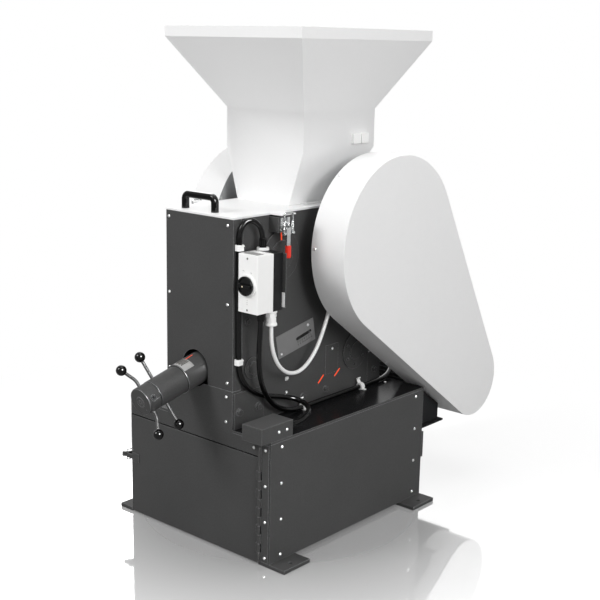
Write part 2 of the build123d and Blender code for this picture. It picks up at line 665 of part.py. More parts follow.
def rear_jaw_arm():
    back_top = REAR_FACE_TOP + JAW_PLATE
    back_low = REAR_FACE_LOW + JAW_PLATE
    outline = [(back_top, MOUTH_Z - 8), (back_low, THROAT_Z), (back_low + 44, THROAT_Z), (back_low + 52, 640),
               (back_low + 50, 700), (back_low + 70, 800), (SHAFT_Y + 60, 880), (SHAFT_Y + 60, 950),
               (back_top + 40, MOUTH_Z - 8)]
    arm = slab_x(outline, JAW_X) + rod_x(82, JAW_X, SHAFT_Y, SHAFT_Z)
    bore = rod_x(BEARING_RING_R + ECCENTRIC + 0.5, (JAW_X[0] - 1, JAW_X[1] + 1), SHAFT_Y, SHAFT_Z)
    notch = slab_x(toggle_line()["groove"], (JAW_X[0] - 1, JAW_X[1] + 1))
    outline = [(back_top, MOUTH_Z), (back_low, THROAT_Z), (back_low - 90, THROAT_Z), (back_low - 90, MOUTH_Z)]
    ahead = slab_x(outline, (JAW_X[0] - 1, JAW_X[1] + 1))
    return [arm - bore - notch - ahead]


def toggle_line():
    """Ends of the toggle plate: the groove in the rear jaw, and the face of the toggle shaft."""
    jaw_end = (REAR_FACE_LOW + JAW_PLATE + 38, 622)
    run = (TOGGLE_Y - jaw_end[0], TOGGLE_Z - jaw_end[1])
    reach = sqrt(run[0] ** 2 + run[1] ** 2)
    way = (run[0] / reach, run[1] / reach)
    across = (-way[1], way[0])
    thick = 11.0
    far = reach - TOGGLE_R - 0.4

    def spot(along, side):
        return tuple(jaw_end[i] + way[i] * along + across[i] * side for i in (0, 1))

    plate = [spot(0, -thick), spot(far, -thick), spot(far, thick), spot(0, thick)]
    groove = [spot(0, -thick), spot(40, -thick), spot(40, thick), spot(0, thick)]
    return {"plate": plate, "groove": groove}


def toggle_plate():
    return [slab_x(toggle_line()["plate"], (JAW_X[0] + 12, JAW_X[1] - 12))]


# ---------------------------------------------------------------- gap adjuster
def barrel_housing():
    """Fixed barrel on its trunnion, with the spigot that carries the lock sleeve."""
    centre = (FRONT - TRUNNION_Y) / cos(TILT)
    body = on_axis(BARREL_R, centre - 22, 72)
    body = body + rod_x(26, (PLATE_LEFT_IN, PLATE_RIGHT_IN), trunnion_spot().Y, trunnion_spot().Z)
    body = body + on_axis(SPIGOT_R, 71, SLEEVE_TO)
    body = body - on_axis(BARREL_BORE, -50, SLEEVE_TO + 1)
    return [body - on_axis(SPINDLE_R + RUN, centre - 40, -49)]


def lock_sleeve():
    bore = on_axis(SPIGOT_R + RUN, SLEEVE_FROM - 1, SLEEVE_TO + 1)
    return [less(on_axis(SLEEVE_R, SLEEVE_FROM, SLEEVE_TO), [bore] + lock_lever_arms(SOCKET_GAP))]


def lever_spot(along, side, reach):
    """Point of a lever on one side of the adjuster's axis; the two levers face away from each other."""
    across = side * reach * cos(radians(LEVER_ANGLE))
    up = side * reach * sin(radians(LEVER_ANGLE))
    return axis_point(along, across, up)


def arm_tip(centre, root):
    """End of an arm that runs straight from its root into a ball."""
    return centre - (centre - root).normalized() * (BALL_R - BALL_GRIP)


def ball_knob(centre, root):
    """Ball knob with the socket for an arm that comes from its root."""
    socket = Pos(0, 0, -BALL_R) * Cylinder(LEVER_R + SOCKET_GAP, 2 * BALL_GRIP)
    return Plane(origin=centre, z_dir=centre - root).location * (Sphere(BALL_R) - socket)


def lock_lever_routes():
    """Root and ball centre of both straight levers."""
    reaches = (SLEEVE_R - ARM_ROOT, LOCK_BALL_REACH)
    return [[lever_spot(LOCK_LEVER_AT, side, reach) for reach in reaches] for side in (-1, 1)]


def lock_lever_arms(extra=0.0):
    """Straight arms of the lock sleeve; extra widens them into the sockets that hold them."""
    return [straight(LEVER_R + extra, root, arm_tip(centre, root)) for root, centre in lock_lever_routes()]


def lock_lever_balls():
    return [ball_knob(centre, root) for root, centre in lock_lever_routes()]


def adjuster_hub():
    """Turning hub; its tube reaches back into the barrel round the spindle's tail."""
    hub = on_axis(HUB_R, SLEEVE_TO + 2, HUB_TO)
    hub = chamfer(hub.edges().filter_by(GeomType.CIRCLE).sort_by(Axis.Y)[0:1], 2.5)
    tail = on_axis(BARREL_BORE - RUN, 100, SLEEVE_TO + 2)
    hub = hub + tail - on_axis(SPINDLE_TAIL_R + RUN, 99, 200)
    ring = on_axis(17, HUB_TO - 1, HUB_TO + 1) - on_axis(15.5, HUB_TO - 2, HUB_TO + 2)
    hub = hub - ring
    socket_x = 0.94
    socket_up = 0.34
    start, end = [axis_point(HUB_SCREW_AT, socket_x * reach, socket_up * reach)
                  for reach in (HUB_R - HUB_SCREW_DEPTH, HUB_R + 3)]
    return [less(hub, [straight(HUB_SCREW_R, start, end)] + adjuster_lever_arms(SOCKET_GAP))]


def turn_lever_routes():
    """Root, bend and ball centre of both cranked levers."""
    spots = ((TURN_LEVER_AT, HUB_R - ARM_ROOT), (TURN_LEVER_AT, HUB_R + TURN_BEND),
             (TURN_BALL_AT, TURN_BALL_REACH))
    return [[lever_spot(along, side, reach) for along, reach in spots] for side in (-1, 1)]


def adjuster_lever_arms(extra=0.0):
    """Cranked arms of the hub; extra widens them into the sockets that hold them."""
    return [tube([root, bend, arm_tip(centre, bend)], LEVER_R + extra)[0]
            for root, bend, centre in turn_lever_routes()]


def adjuster_lever_balls():
    return [ball_knob(centre, bend) for root, bend, centre in turn_lever_routes()]


def spindle():
    """Adjusting spindle with its thrust head, and the gap pointer pin."""
    centre = (FRONT - TRUNNION_Y) / cos(TILT)
    screw = on_axis(SPINDLE_R, SPINDLE_END + 10, 60) + on_axis(SPINDLE_TAIL_R, 60, 160)
    head = on_axis(SPINDLE_HEAD_R, SPINDLE_END, SPINDLE_END + 26)
    head = chamfer(head.edges().filter_by(GeomType.CIRCLE).sort_by(Axis.Y)[-1:], 10)
    pin_spot = axis_point(SPINDLE_END + 12)
    pin = rod_x(4, (ADJUST_X + 10, TOWER_RIGHT + 6), pin_spot.Y, pin_spot.Z)
    return [screw + head + pin]


def scale_and_rating_plates():
    """Gap scale on the right side plate, and the rating plate bent round the barrel's top."""
    plate = Pos(TOWER_RIGHT + 1, FRONT + 285, 634) * Rot(ADJUST_TILT - 3, 0, 0) * Box(2, 178, 75)
    ring = on_axis(BARREL_R + 0.7, RATING_FROM, RATING_TO)
    ring = ring - on_axis(BARREL_R + 0.15, RATING_FROM - 1, RATING_TO + 1)
    window = ADJUST_AXIS * Pos(11, BARREL_R, (RATING_FROM + RATING_TO) / 2) * Box(RATING_WIDE, 40, 60)
    return [plate - adjuster_slot(5.5), ring & window]


# ---------------------------------------------------------------- drive
def wheel(x, grooves):
    """Flywheel: rim, web with lightening holes, and hub."""
    middle = (x[0] + x[1]) / 2
    rim = rod_x(WHEEL_R, x, SHAFT_Y, SHAFT_Z) - rod_x(WHEEL_R - WHEEL_RIM, x, SHAFT_Y, SHAFT_Z)
    web = rod_x(WHEEL_R - WHEEL_RIM, (middle - WHEEL_WEB / 2, middle + WHEEL_WEB / 2), SHAFT_Y, SHAFT_Z)
    body = rim + web + rod_x(WHEEL_HUB_R, x, SHAFT_Y, SHAFT_Z)
    for number in range(5):
        angle = 2 * pi * number / 5
        y = SHAFT_Y + 137 * cos(angle)
        z = SHAFT_Z + 137 * sin(angle)
        body = body - rod_x(42, (x[0] - 1, x[1] + 1), y, z)
    for centre in grooves:
        body = body - groove(WHEEL_R, centre, SHAFT_Y, SHAFT_Z)
    return body - rod_x(SHAFT_R, (x[0] - 1, x[1] + 1), SHAFT_Y, SHAFT_Z)


def belt_centres():
    middle = (WHEEL_RIGHT[0] + WHEEL_RIGHT[1]) / 2
    return [middle + BELT_PITCH * (number - (BELT_COUNT - 1) / 2) for number in range(BELT_COUNT)]


def groove(radius, centre, y, z):
    x = (centre - BELT_WIDTH / 2 - 1, centre + BELT_WIDTH / 2 + 1)
    return rod_x(radius + 1, x, y, z) - rod_x(radius - GROOVE_DEPTH, x, y, z)


def flywheel_left():
    return [wheel(WHEEL_LEFT, [])]


def flywheel_pulley():
    return [wheel(WHEEL_RIGHT, belt_centres())]


def eccentric_shaft():
    """Main shaft with its eccentric journal and the two bearings inside the rear jaw."""
    shaft = rod_x(SHAFT_R, (WHEEL_LEFT[0] - 4, WHEEL_RIGHT[1] + 4), SHAFT_Y, SHAFT_Z)
    centre_z = SHAFT_Z - ECCENTRIC
    shaft = shaft + rod_x(JOURNAL_R, (JAW_X[0] + 2, JAW_X[1] - 2), SHAFT_Y, centre_z)
    rings = []
    for x in ((JAW_X[0] + 8, JAW_X[0] + 68), (JAW_X[1] - 68, JAW_X[1] - 8)):
        rings.append(rod_x(BEARING_RING_R, x, SHAFT_Y, centre_z) - rod_x(JOURNAL_R, x, SHAFT_Y, centre_z))
    return [shaft] + rings


def loop_slab(big, small, x):
    """Solid bounded by two circles and their outer tangents, round the shaft and the motor."""
    reach = sqrt((MOTOR_Y - SHAFT_Y) ** 2 + (MOTOR_Z - SHAFT_Z) ** 2)
    heading = atan2(MOTOR_Z - SHAFT_Z, MOTOR_Y - SHAFT_Y)
    lean = acos((big - small) / reach)
    corners = []
    for turn, order in ((lean, (big, small)), (-lean, (small, big))):
        for radius in order:
            y0, z0 = (SHAFT_Y, SHAFT_Z) if radius == big else (MOTOR_Y, MOTOR_Z)
            corners.append((y0 + radius * cos(heading + turn), z0 + radius * sin(heading + turn)))
    return fused([slab_x(corners, x), rod_x(big, x, SHAFT_Y, SHAFT_Z), rod_x(small, x, MOTOR_Y, MOTOR_Z)])


def drive_belts():
    belts = []
    for centre in belt_centres():
        x = (centre - BELT_WIDTH / 2, centre + BELT_WIDTH / 2)
        outer = loop_slab(WHEEL_R - BELT_SUNK, PULLEY_R - BELT_SUNK, x)
        inner = loop_slab(WHEEL_R - BELT_SUNK - BELT_THICK, PULLEY_R - BELT_SUNK - BELT_THICK, x)
        belts.append(outer - inner)
    return belts


def motor():
    """Foot-mounted motor: body, bell ends, feet and terminal box."""
    body = rod_x(96, (-120, 150), MOTOR_Y, MOTOR_Z) + rod_x(80, (150, 182), MOTOR_Y, MOTOR_Z)
    body = body + rod_x(92, (-178, -120), MOTOR_Y, MOTOR_Z)
    feet = block((-60, 110), (MOTOR_Y - 85, MOTOR_Y + 85), (280, 292))
    pedestal = block((-60, 110), (MOTOR_Y - 60, MOTOR_Y + 60), (290, MOTOR_Z - 60))
    terminal = block((-40, 70), (MOTOR_Y - 55, MOTOR_Y + 55), (MOTOR_Z + 70, MOTOR_Z + 150))
    whole = fused([body, feet, pedestal, terminal])
    return [whole - rod_x(MOTOR_SHAFT_R + RUN, (100, 183), MOTOR_Y, MOTOR_Z)]


def motor_pulley():
    """Motor shaft with its grooved pulley."""
    pulley = rod_x(PULLEY_R, WHEEL_RIGHT, MOTOR_Y, MOTOR_Z)
    for centre in belt_centres():
        pulley = pulley - groove(PULLEY_R, centre, MOTOR_Y, MOTOR_Z)
    return [pulley + rod_x(MOTOR_SHAFT_R, (102, WHEEL_RIGHT[1] + 2), MOTOR_Y, MOTOR_Z)]


def motor_shelf():
    """Shelf behind the cabinet that carries the motor, and the channel that carries the guard."""
    shelf = block((-130, 215), (BACK, MOTOR_Y + 100), (274, 280))
    for x in (-110, 190):
        wire = [(BACK, 170), (BACK, 274), (MOTOR_Y + 60, 274), (MOTOR_Y - 20, 258)]
        shelf = shelf + slab_x(wire, (x, x + 8))
    channel = block((262, SIDE), (BACK, 514), (250, 257))
    web = [(BACK, 257), (512, 257), (512, 308), (BACK, BASE_TOP - 3)]
    channel = channel + slab_x(web, (SIDE - 28, SIDE - 22))
    return [shelf, channel]


def belt_guard():
    """Pear-shaped belt guard, open towards the machine."""
    outer = loop_slab(GUARD_R, GUARD_SMALL_R, (BELT_GUARD_IN, BELT_GUARD_OUT))
    hollow = loop_slab(GUARD_R - GUARD_SHEET, GUARD_SMALL_R - GUARD_SHEET,
                       (BELT_GUARD_IN - 1, BELT_GUARD_OUT - GUARD_SHEET))
    return [outer - hollow]


def flywheel_guard():
    outer = rod_x(GUARD_R, (WHEEL_GUARD_OUT, WHEEL_GUARD_IN), SHAFT_Y, SHAFT_Z)
    inside_x = (WHEEL_GUARD_OUT + GUARD_SHEET, WHEEL_GUARD_IN + 1)
    hollow = rod_x(GUARD_R - GUARD_SHEET, inside_x, SHAFT_Y, SHAFT_Z)
    return [outer - hollow]


def guard_back_plates():
    """Back plates of both guards, on the bearing housings."""
    right_x = (BELT_GUARD_IN + 2, BELT_GUARD_IN + 4)
    right = loop_slab(GUARD_R - GUARD_SHEET, GUARD_SMALL_R - GUARD_SHEET, right_x)
    right = right - rod_x(SHAFT_R + 6, (right_x[0] - 1, right_x[1] + 1), SHAFT_Y, SHAFT_Z)
    right = right - rod_x(40, (right_x[0] - 1, right_x[1] + 1), MOTOR_Y, MOTOR_Z)
    right_spacer = rod_x(60, (TOWER_RIGHT + HOUSING_DEPTH, right_x[0]), SHAFT_Y, SHAFT_Z)
    right_spacer = right_spacer - rod_x(SHAFT_R + 6, (200, 240), SHAFT_Y, SHAFT_Z)
    left_x = (WHEEL_GUARD_IN - 4, WHEEL_GUARD_IN - 2)
    left = rod_x(GUARD_R - GUARD_SHEET, left_x, SHAFT_Y, SHAFT_Z)
    left = left - rod_x(SHAFT_R + 6, (left_x[0] - 1, left_x[1] + 1), SHAFT_Y, SHAFT_Z)
    left_spacer = rod_x(60, (left_x[1], TOWER_LEFT - HOUSING_DEPTH), SHAFT_Y, SHAFT_Z)
    left_spacer = left_spacer - rod_x(SHAFT_R + 6, (-220, -180), SHAFT_Y, SHAFT_Z)
    return [right + right_spacer, left + left_spacer]


# ---------------------------------------------------------------- lid and hopper
def lid_plate():
    """Top plate with the throat, the clamp's catch and its hinge ears."""
    x = (TOWER_LEFT - COVER, TOWER_RIGHT + COVER)
    plate = block(x, (FRONT - 1, TOWER_REAR + COVER), (TOWER_TOP, LID_TOP))
    catch = block((TOWER_RIGHT, CLAMP_FACE + 10), (-233, -167), (TOWER_TOP + 1, TOWER_TOP + 5))
    hole = block((CHAMBER_LEFT + 4, THROAT_X[1] - 4), (THROAT_Y[0] + 8, THROAT_Y[1] - 30),
                 (TOWER_TOP - 1, LID_TOP + 1))
    plate = plate + catch + other_side(catch) - hole
    bore = LID_HINGE_R - 3 + RUN
    for x in ((-90, -40), (60, 110)):
        ear = block(x, (TOWER_REAR - 30, LID_HINGE_Y), (LID_TOP, LID_TOP + 4))
        ear = ear + rod_x(LID_HINGE_R, x, LID_HINGE_Y, LID_TOP + 4 - LID_HINGE_R)
        gap = block((x[0] - 1, x[1] + 1), (TOWER_REAR - 31, TOWER_REAR + COVER), (TOWER_TOP - 20, LID_TOP))
        plate = plate + (ear - gap)
        plate = plate - rod_x(bore, (x[0] - 1, x[1] + 1), LID_HINGE_Y, LID_TOP + 4 - LID_HINGE_R)
    return [plate]


def lid_hinge():
    """Hinge pin and the lugs that hold it on the rear cover."""
    z = LID_TOP + 4 - LID_HINGE_R
    pin_r = LID_HINGE_R - 3
    pin = rod_x(pin_r, (-106, 126), LID_HINGE_Y, z)
    lugs = []
    for x in ((-104, -91), (-39, -26), (46, 59), (111, 124)):
        foot = block(x, (TOWER_REAR + COVER, LID_HINGE_Y + LID_HINGE_R), (z - 45, z - 2))
        lug = rod_x(LID_HINGE_R, x, LID_HINGE_Y, z) + foot
        lugs.append(lug - rod_x(pin_r, (x[0] - 1, x[1] + 1), LID_HINGE_Y, z))
    return [pin] + lugs


def frustum(low, high, z):
    """Lofted solid between two rectangles, each given as its x pair and y pair."""
    faces = []
    for (x, y), height in zip((low, high), z):
        corners = [(x[0], y[0]), (x[1], y[0]), (x[1], y[1]), (x[0], y[1])]
        faces.append(Face(Wire.make_polygon([Vector(a, b, height) for a, b in corners], close=True)))
    return loft(faces, ruled=True)


def inset(x, y, wall):
    return (x[0] + wall, x[1] - wall), (y[0] + wall, y[1] - wall)


def hopper():
    """Feed hopper of folded sheet: rim, funnel, neck, tapered foot and screwed flange."""
    def shell(wall):
        throat = inset(THROAT_X, THROAT_Y, wall)
        neck = inset(NECK_X, NECK_Y, wall)
        rim = inset(RIM_X, RIM_Y, wall)
        return fused([frustum(throat, neck, (LID_TOP, NECK_LOW)), frustum(neck, neck, (NECK_LOW, NECK_TOP)),
                      frustum(neck, rim, (NECK_TOP, RIM_LOW)), frustum(rim, rim, (RIM_LOW, RIM_TOP))])
    body = shell(0.0) - shell(HOPPER_SHEET)
    right = block((THROAT_X[1] - 2, THROAT_X[1] + 24), (-30, THROAT_Y[1]), (LID_TOP, LID_TOP + 4))
    low = inset(THROAT_X, THROAT_Y, HOPPER_SHEET)
    inside = frustum(low, inset(NECK_X, NECK_Y, HOPPER_SHEET), (LID_TOP, NECK_LOW))
    return [body + (right - inside)]


def bridge_handle():
    half = HANDLE_SPAN / 2
    top = LID_TOP + HANDLE_RISE - HANDLE_SECTION / 2
    spots = [(HANDLE_X - half, HANDLE_Y, LID_TOP), (HANDLE_X - half, HANDLE_Y, top),
             (HANDLE_X + half, HANDLE_Y, top), (HANDLE_X + half, HANDLE_Y, LID_TOP)]
    path, _ = bent_path(spots, limit=16.0)
    section = Plane(origin=path @ 0, z_dir=path % 0) * RectangleRounded(HANDLE_SECTION, HANDLE_SECTION, 6)
    return [sweep(section, path=path)]


def hopper_switch():
    """Two-part safety switch on the hopper's neck."""
    x = (NECK_X[1], NECK_X[1] + 12)
    return [block(x, (150, 186), (1231, 1263)), block(x, (190, 226), (1231, 1263))]


# ---------------------------------------------------------------- top clamps
CLAMP_PIVOT = (CLAMP_FACE + 13, -207.0, 1000.0)
CLAMP_LINK = (3.0, -12.0)      # the bail's cross pin, from the lever's pivot, along X and Z
CLAMP_PIN_R = 2.5
BAIL_R = 3.0
BAIL_HALF = 19.0


def clamp_base():
    """Base plate with two round ears, and the lever's pivot pin."""
    x, y, z = CLAMP_PIVOT
    plate = block((CLAMP_FACE, CLAMP_FACE + 3), (y - 21, y + 21), (990, 1034))
    for side in (-1, 1):
        ear_y = (y + side * 10, y + side * 13)
        plate = plate + block((CLAMP_FACE + 3, x), ear_y, (z - 8, z + 8)) + rod_y(8, x, ear_y, z)
    pin = rod_y(CLAMP_PIN_R, x, (y - 13, y + 13), z)
    return [plate - pin, pin]


def clamp_lever():
    """Lever hanging from its pivot, with the bail's cross pin below it."""
    x, y, z = CLAMP_PIVOT
    arm = block((x - 3, x + 6), (y - 9, y + 9), (z - 16, z + 5))
    arm = arm + block((x + 1, x + 5), (y - 8, y + 8), (z - 52, z))
    arm = arm - rod_y(CLAMP_PIN_R + RUN, x, (y - 10, y + 10), z)
    return [arm + rod_y(BAIL_R, x + CLAMP_LINK[0], (y - 24, y + 24), z + CLAMP_LINK[1])]


def clamp_grip():
    x, y, z = CLAMP_PIVOT
    grip = rod_z(9, x + 3, y, (z - 88, z - 50))
    grip = fillet(grip.faces().sort_by(Axis.Z)[0].edges(), 6)
    return [grip - block((x + 1, x + 5), (y - 8, y + 8), (z - 52, z - 49))]


def clamp_bail():
    """U-bolt whose crossbar lies against the lid's catch."""
    x, y, z = CLAMP_PIVOT
    bar_x = x + CLAMP_LINK[0]
    eye_z = z + CLAMP_LINK[1]
    high = LID_TOP + BAIL_R
    spots = [(bar_x, y - BAIL_HALF, eye_z + 4), (bar_x, y - BAIL_HALF, high), (bar_x, y + BAIL_HALF, high),
             (bar_x, y + BAIL_HALF, eye_z + 4)]
    bow, _, _ = tube(spots, BAIL_R, limit=6.0)
    for side in (-1, 1):
        bow = bow + rod_y(6, bar_x, (y + side * 14.5, y + side * 23.5), eye_z)
    return [bow - rod_y(BAIL_R + RUN, bar_x, (y - 24, y + 24), eye_z)]


# ---------------------------------------------------------------- starter and cables
def starter_base():
    shell = block(STARTER_X, (STARTER_Y[1], STARTER_Y[2]), STARTER_Z)
    hollow = block((STARTER_X[0] + 3, STARTER_X[1] - 3), (STARTER_Y[1] - 1, STARTER_Y[2] - 3),
                   (STARTER_Z[0] + 3, STARTER_Z[1] - 3))
    return [shell - hollow]


def knob_x():
    return (STARTER_X[0] + STARTER_X[1]) / 2 - 2


def starter_cover():
    """White cover with the raised ring round the switch."""
    shell = block(STARTER_X, (STARTER_Y[0], STARTER_Y[1]), STARTER_Z)
    shell = fillet(shell.edges().filter_by(Axis.Z).sort_by(Axis.Y)[0:2], 3)
    hollow = block((STARTER_X[0] + 3, STARTER_X[1] - 3), (STARTER_Y[0] + 3, STARTER_Y[1] + 1),
                   (STARTER_Z[0] + 3, STARTER_Z[1] - 3))
    ring = rod_y(KNOB_R + 5, knob_x(), (STARTER_Y[0] - 5, STARTER_Y[0]), KNOB_Z)
    bore = rod_y(6 + RUN, knob_x(), (STARTER_Y[0] - 6, STARTER_Y[0] + 4), KNOB_Z)
    return [shell - hollow + ring - bore]


def starter_knob():
    y = STARTER_Y[0] - 5 - GAP
    disc = rod_y(KNOB_R, knob_x(), (y - 7, y), KNOB_Z)
    grip = block((knob_x() - KNOB_R + 4, knob_x() + KNOB_R - 4), (y - 13, y - 7), (KNOB_Z - 5, KNOB_Z + 5))
    stem = rod_y(6, knob_x(), (y - 1, STARTER_Y[0] + 12), KNOB_Z)
    return [fused([disc, grip, stem])]


STARTER_TOP_GLAND = (186.0, -297.0)
STARTER_LOW_GLAND = (222.0, -340.0)
WHITE_GLAND = (234.0, -308.0)
COVER_FACE = TOWER_RIGHT + COVER

CONDUIT_TO_BLOCK = [
    (186, -297, 966), (186, -297, 1006), (179, -326, 1036), (168, -352, 1036), (161.8, -371, 1006),
    (161.8, -371, 962), (161.8, -373, 880), (161.8, -373, 780), (161.8, -372, 690),
    (161.9, -370.5, 588), (165, -350, 540), (168, -314, 508), (168, -264, 484), (167, -210, 470),
    (168, -160, 457), (194, -128, 446), (232, -131, 438), (266, -164, 431), (287, -214, 427),
    (291, -252, 425), (291, -291, 425)]
CONDUIT_TO_MOTOR = [
    (222, -340, 749), (220, -340, 704), (214, -338, 652), (207, -330, 602), (200, -315, 554),
    (193, -292, 511), (187, -262, 474), (182, -222, 442), (179, -174, 420), (176, -120, 409),
    (174, -58, 409), (172, 8, 409.5), (171, 72, 409), (170, 134, 409.5), (169, 194, 409),
    (169, 246, 409), (169, 300, 409.5), (166, 352, 411), (152, 402, 419), (128, 448, 437),
    (100, 490, 463), (74, 528, 489), (52, 562, 507), (38, 588, 513)]
WHITE_CABLE = [
    (234, -308, 748), (234, -308, 708), (231, -302, 668), (227, -286, 628), (221, -258, 589),
    (215, -221, 561), (210, -182, 547), (207, -142, 546), (206, -103, 564), (205, -66, 598),
    (205, -40, 640), (206, -21, 684), (208, -9, 716), (208, -9, 742)]


def on_route(route, axis, value):
    """Point of a route's straight runs where the coordinate on the given axis has this value."""
    for start, end in zip(route, route[1:]):
        if min(start[axis], end[axis]) <= value <= max(start[axis], end[axis]) and start[axis] != end[axis]:
            share = (value - start[axis]) / (end[axis] - start[axis])
            return [a + share * (b - a) for a, b in zip(start, end)]


def conduits():
    """Two black conduits with their screwed connectors."""
    pieces = []
    for name, route in (("to_block", CONDUIT_TO_BLOCK), ("to_motor", CONDUIT_TO_MOTOR)):
        solid, tightest, length = tube(route, CONDUIT_R)
        print(f"conduit {name}: {length:.0f} mm long, tightest bend {tightest:.0f} mm, "
              f"volume over section {solid.volume / (pi * CONDUIT_R ** 2):.0f} mm")
        pieces.append(solid)
    x, y = STARTER_TOP_GLAND
    low = STARTER_Z[1] + 8
    pieces.append(rod_z(11, x, y, (low, low + 28)) - rod_z(CONDUIT_R + 0.1, x, y, (low - 1, low + 29)))
    x, y = STARTER_LOW_GLAND
    low = STARTER_Z[0] - 30
    pieces.append(rod_z(11, x, y, (low, STARTER_Z[0])) - rod_z(CONDUIT_R + 0.4, x, y, (low - 1, low + 11.5)))
    return pieces


def white_cable():
    solid, tightest, length = tube(WHITE_CABLE, CABLE_R)
    print(f"white cable: {length:.0f} mm long, tightest bend {tightest:.0f} mm, "
          f"volume over section {solid.volume / (pi * CABLE_R ** 2):.0f} mm")
    return [solid]


def clips_and_glands():
    """White glands, conduit clips and the guard switch that the white cable ends in."""
    x, y = STARTER_TOP_GLAND
    top = STARTER_Z[1]
    pieces = [rod_z(17, x, y, (top, top + 8)) - rod_z(CONDUIT_R + 0.1, x, y, (top - 1, top + 9))]
    x, y = WHITE_GLAND
    low = STARTER_Z[0]
    gland = rod_z(13, x, y, (low - 36, low)) + rod_z(16, x, y, (low - 42, low - 36))
    pieces.append(gland - rod_z(CABLE_R + 0.1, x, y, (low - 43, WHITE_CABLE[0][2])))
    for z in (958, 612):
        x, y, _ = on_route(CONDUIT_TO_BLOCK, 2, z)
        saddle = block((COVER_FACE, x + CONDUIT_R + 2.2), (y - 12, y + 12), (z - 9, z + 9))
        saddle = fillet(saddle.edges().filter_by(Axis.Z), 5)
        pieces.append(saddle - rod_z(CONDUIT_R + 0.9, x, y, (z - 10, z + 10)))
    for y in (-86, 216):
        x, _, z = on_route(CONDUIT_TO_MOTOR, 1, y)
        ring = rod_y(CONDUIT_R + 3.0, x, (y - 5, y + 5), z)
        ring = ring + block((x, x + 22), (y - 5, y + 5), (BASE_TOP, BASE_TOP + 4))
        ring = ring - rod_y(CONDUIT_R + 0.9, x, (y - 6, y + 6), z)
        pieces.append(ring - block((x - 20, x + 30), (y - 6, y + 6), (BASE_TOP - 10, BASE_TOP)))
    x, y, low = WHITE_CABLE[-1]
    pieces.append(block((x - 10, BELT_GUARD_IN + 2), (y - 17, y + 23), (low, low + 58)))
    return pieces


# ---------------------------------------------------------------- screws
def tangent_angle():
    """Direction from the shaft to the motor, and how far the guard's straight sides lean from it."""
    reach = sqrt((MOTOR_Y - SHAFT_Y) ** 2 + (MOTOR_Z - SHAFT_Z) ** 2)
    lean = degrees(acos((GUARD_R - GUARD_SMALL_R) / reach))
    return degrees(atan2(MOTOR_Z - SHAFT_Z, MOTOR_Y - SHAFT_Y)), lean


def rim_button(x, y, z, angle):
    """Button-head screw on a guard's rim, looking outwards at this angle."""
    high = BUTTON_HIGH / 2
    head = Cylinder(BUTTON_R - 1, BUTTON_HIGH)
    head = chamfer(head.faces().sort_by(Axis.Z)[-1].edges(), 1.2)
    return Pos(x, y, z) * Rot(angle - 90, 0, 0) * Pos(0, 0, high) * head


def guard_screws():
    """Screws round the inner edges of both guards."""
    screws = []
    heading, lean = tangent_angle()
    for x, angles in ((BELT_GUARD_IN + 14, (79, 128, 178)), (WHEEL_GUARD_IN - 14, (79, 128, 178, 228, 300))):
        for angle in angles:
            y = SHAFT_Y + GUARD_R * cos(radians(angle))
            z = SHAFT_Z + GUARD_R * sin(radians(angle))
            screws.append(rim_button(x, y, z, angle))
    for turn in (lean, -lean):
        angle = heading + turn
        along = Vector(0, cos(radians(angle)), sin(radians(angle)))
        start = Vector(0, SHAFT_Y, SHAFT_Z) + along * GUARD_R
        end = Vector(0, MOTOR_Y, MOTOR_Z) + along * GUARD_SMALL_R
        for share in (0.06, 0.47, 0.97):
            spot = start + (end - start) * share
            screws.append(rim_button(BELT_GUARD_IN + 14, spot.Y, spot.Z, angle))
    return screws


def button_screws():
    """Bright button-head screws on covers, panels, guards and the interlock block."""
    screws = []
    cover_rows = (1021, 785, 543)
    for x in (-122, 130):
        for z in cover_rows:
            screws.append(button(x, FRONT, z, "-Y"))
    for x, z in ((-122, 499), (127, 499), (127, 421)):
        screws.append(button(x, FRONT, z, "-Y"))
    for z in (369,):
        for x in (68 - SIDE, SIDE - 68):
            screws.append(button(x, FRONT, z, "-Y"))
    for side, facing in ((1, "+X"), (-1, "-X")):
        for y in (FRONT + 48, BACK - 46):
            for z in (32, 146, 261, 376):
                screws.append(button(side * SIDE, y, z, facing))
    for y in (FRONT + 34, FRONT + 69):
        screws.append(button(SIDE, y, 425, "+X"))
    for z in (29, 145, 259, 372):
        screws.append(button(SIDE - 19, FRONT - HINGE_LEAF_THICK, z, "-Y"))
    for y, z in ((-143, 508), (-142, 465), (81, 565)):
        screws.append(button(TOWER_RIGHT, y, z, "+X"))
    for y, z in ((-47, 668), (-170, 595)):
        screws.append(button(TOWER_RIGHT + 2, y, z, "+X"))
    screws.append(button(183, 337, BASE_TOP, "+Z"))
    screws.extend(guard_screws())
    return screws


def hopper_screws():
    """Screws of the hopper's flange, which swing with the lid."""
    return [button(THROAT_X[1] + 14, y, LID_TOP + 4, "+Z") for y in (-12, 34, 120)]


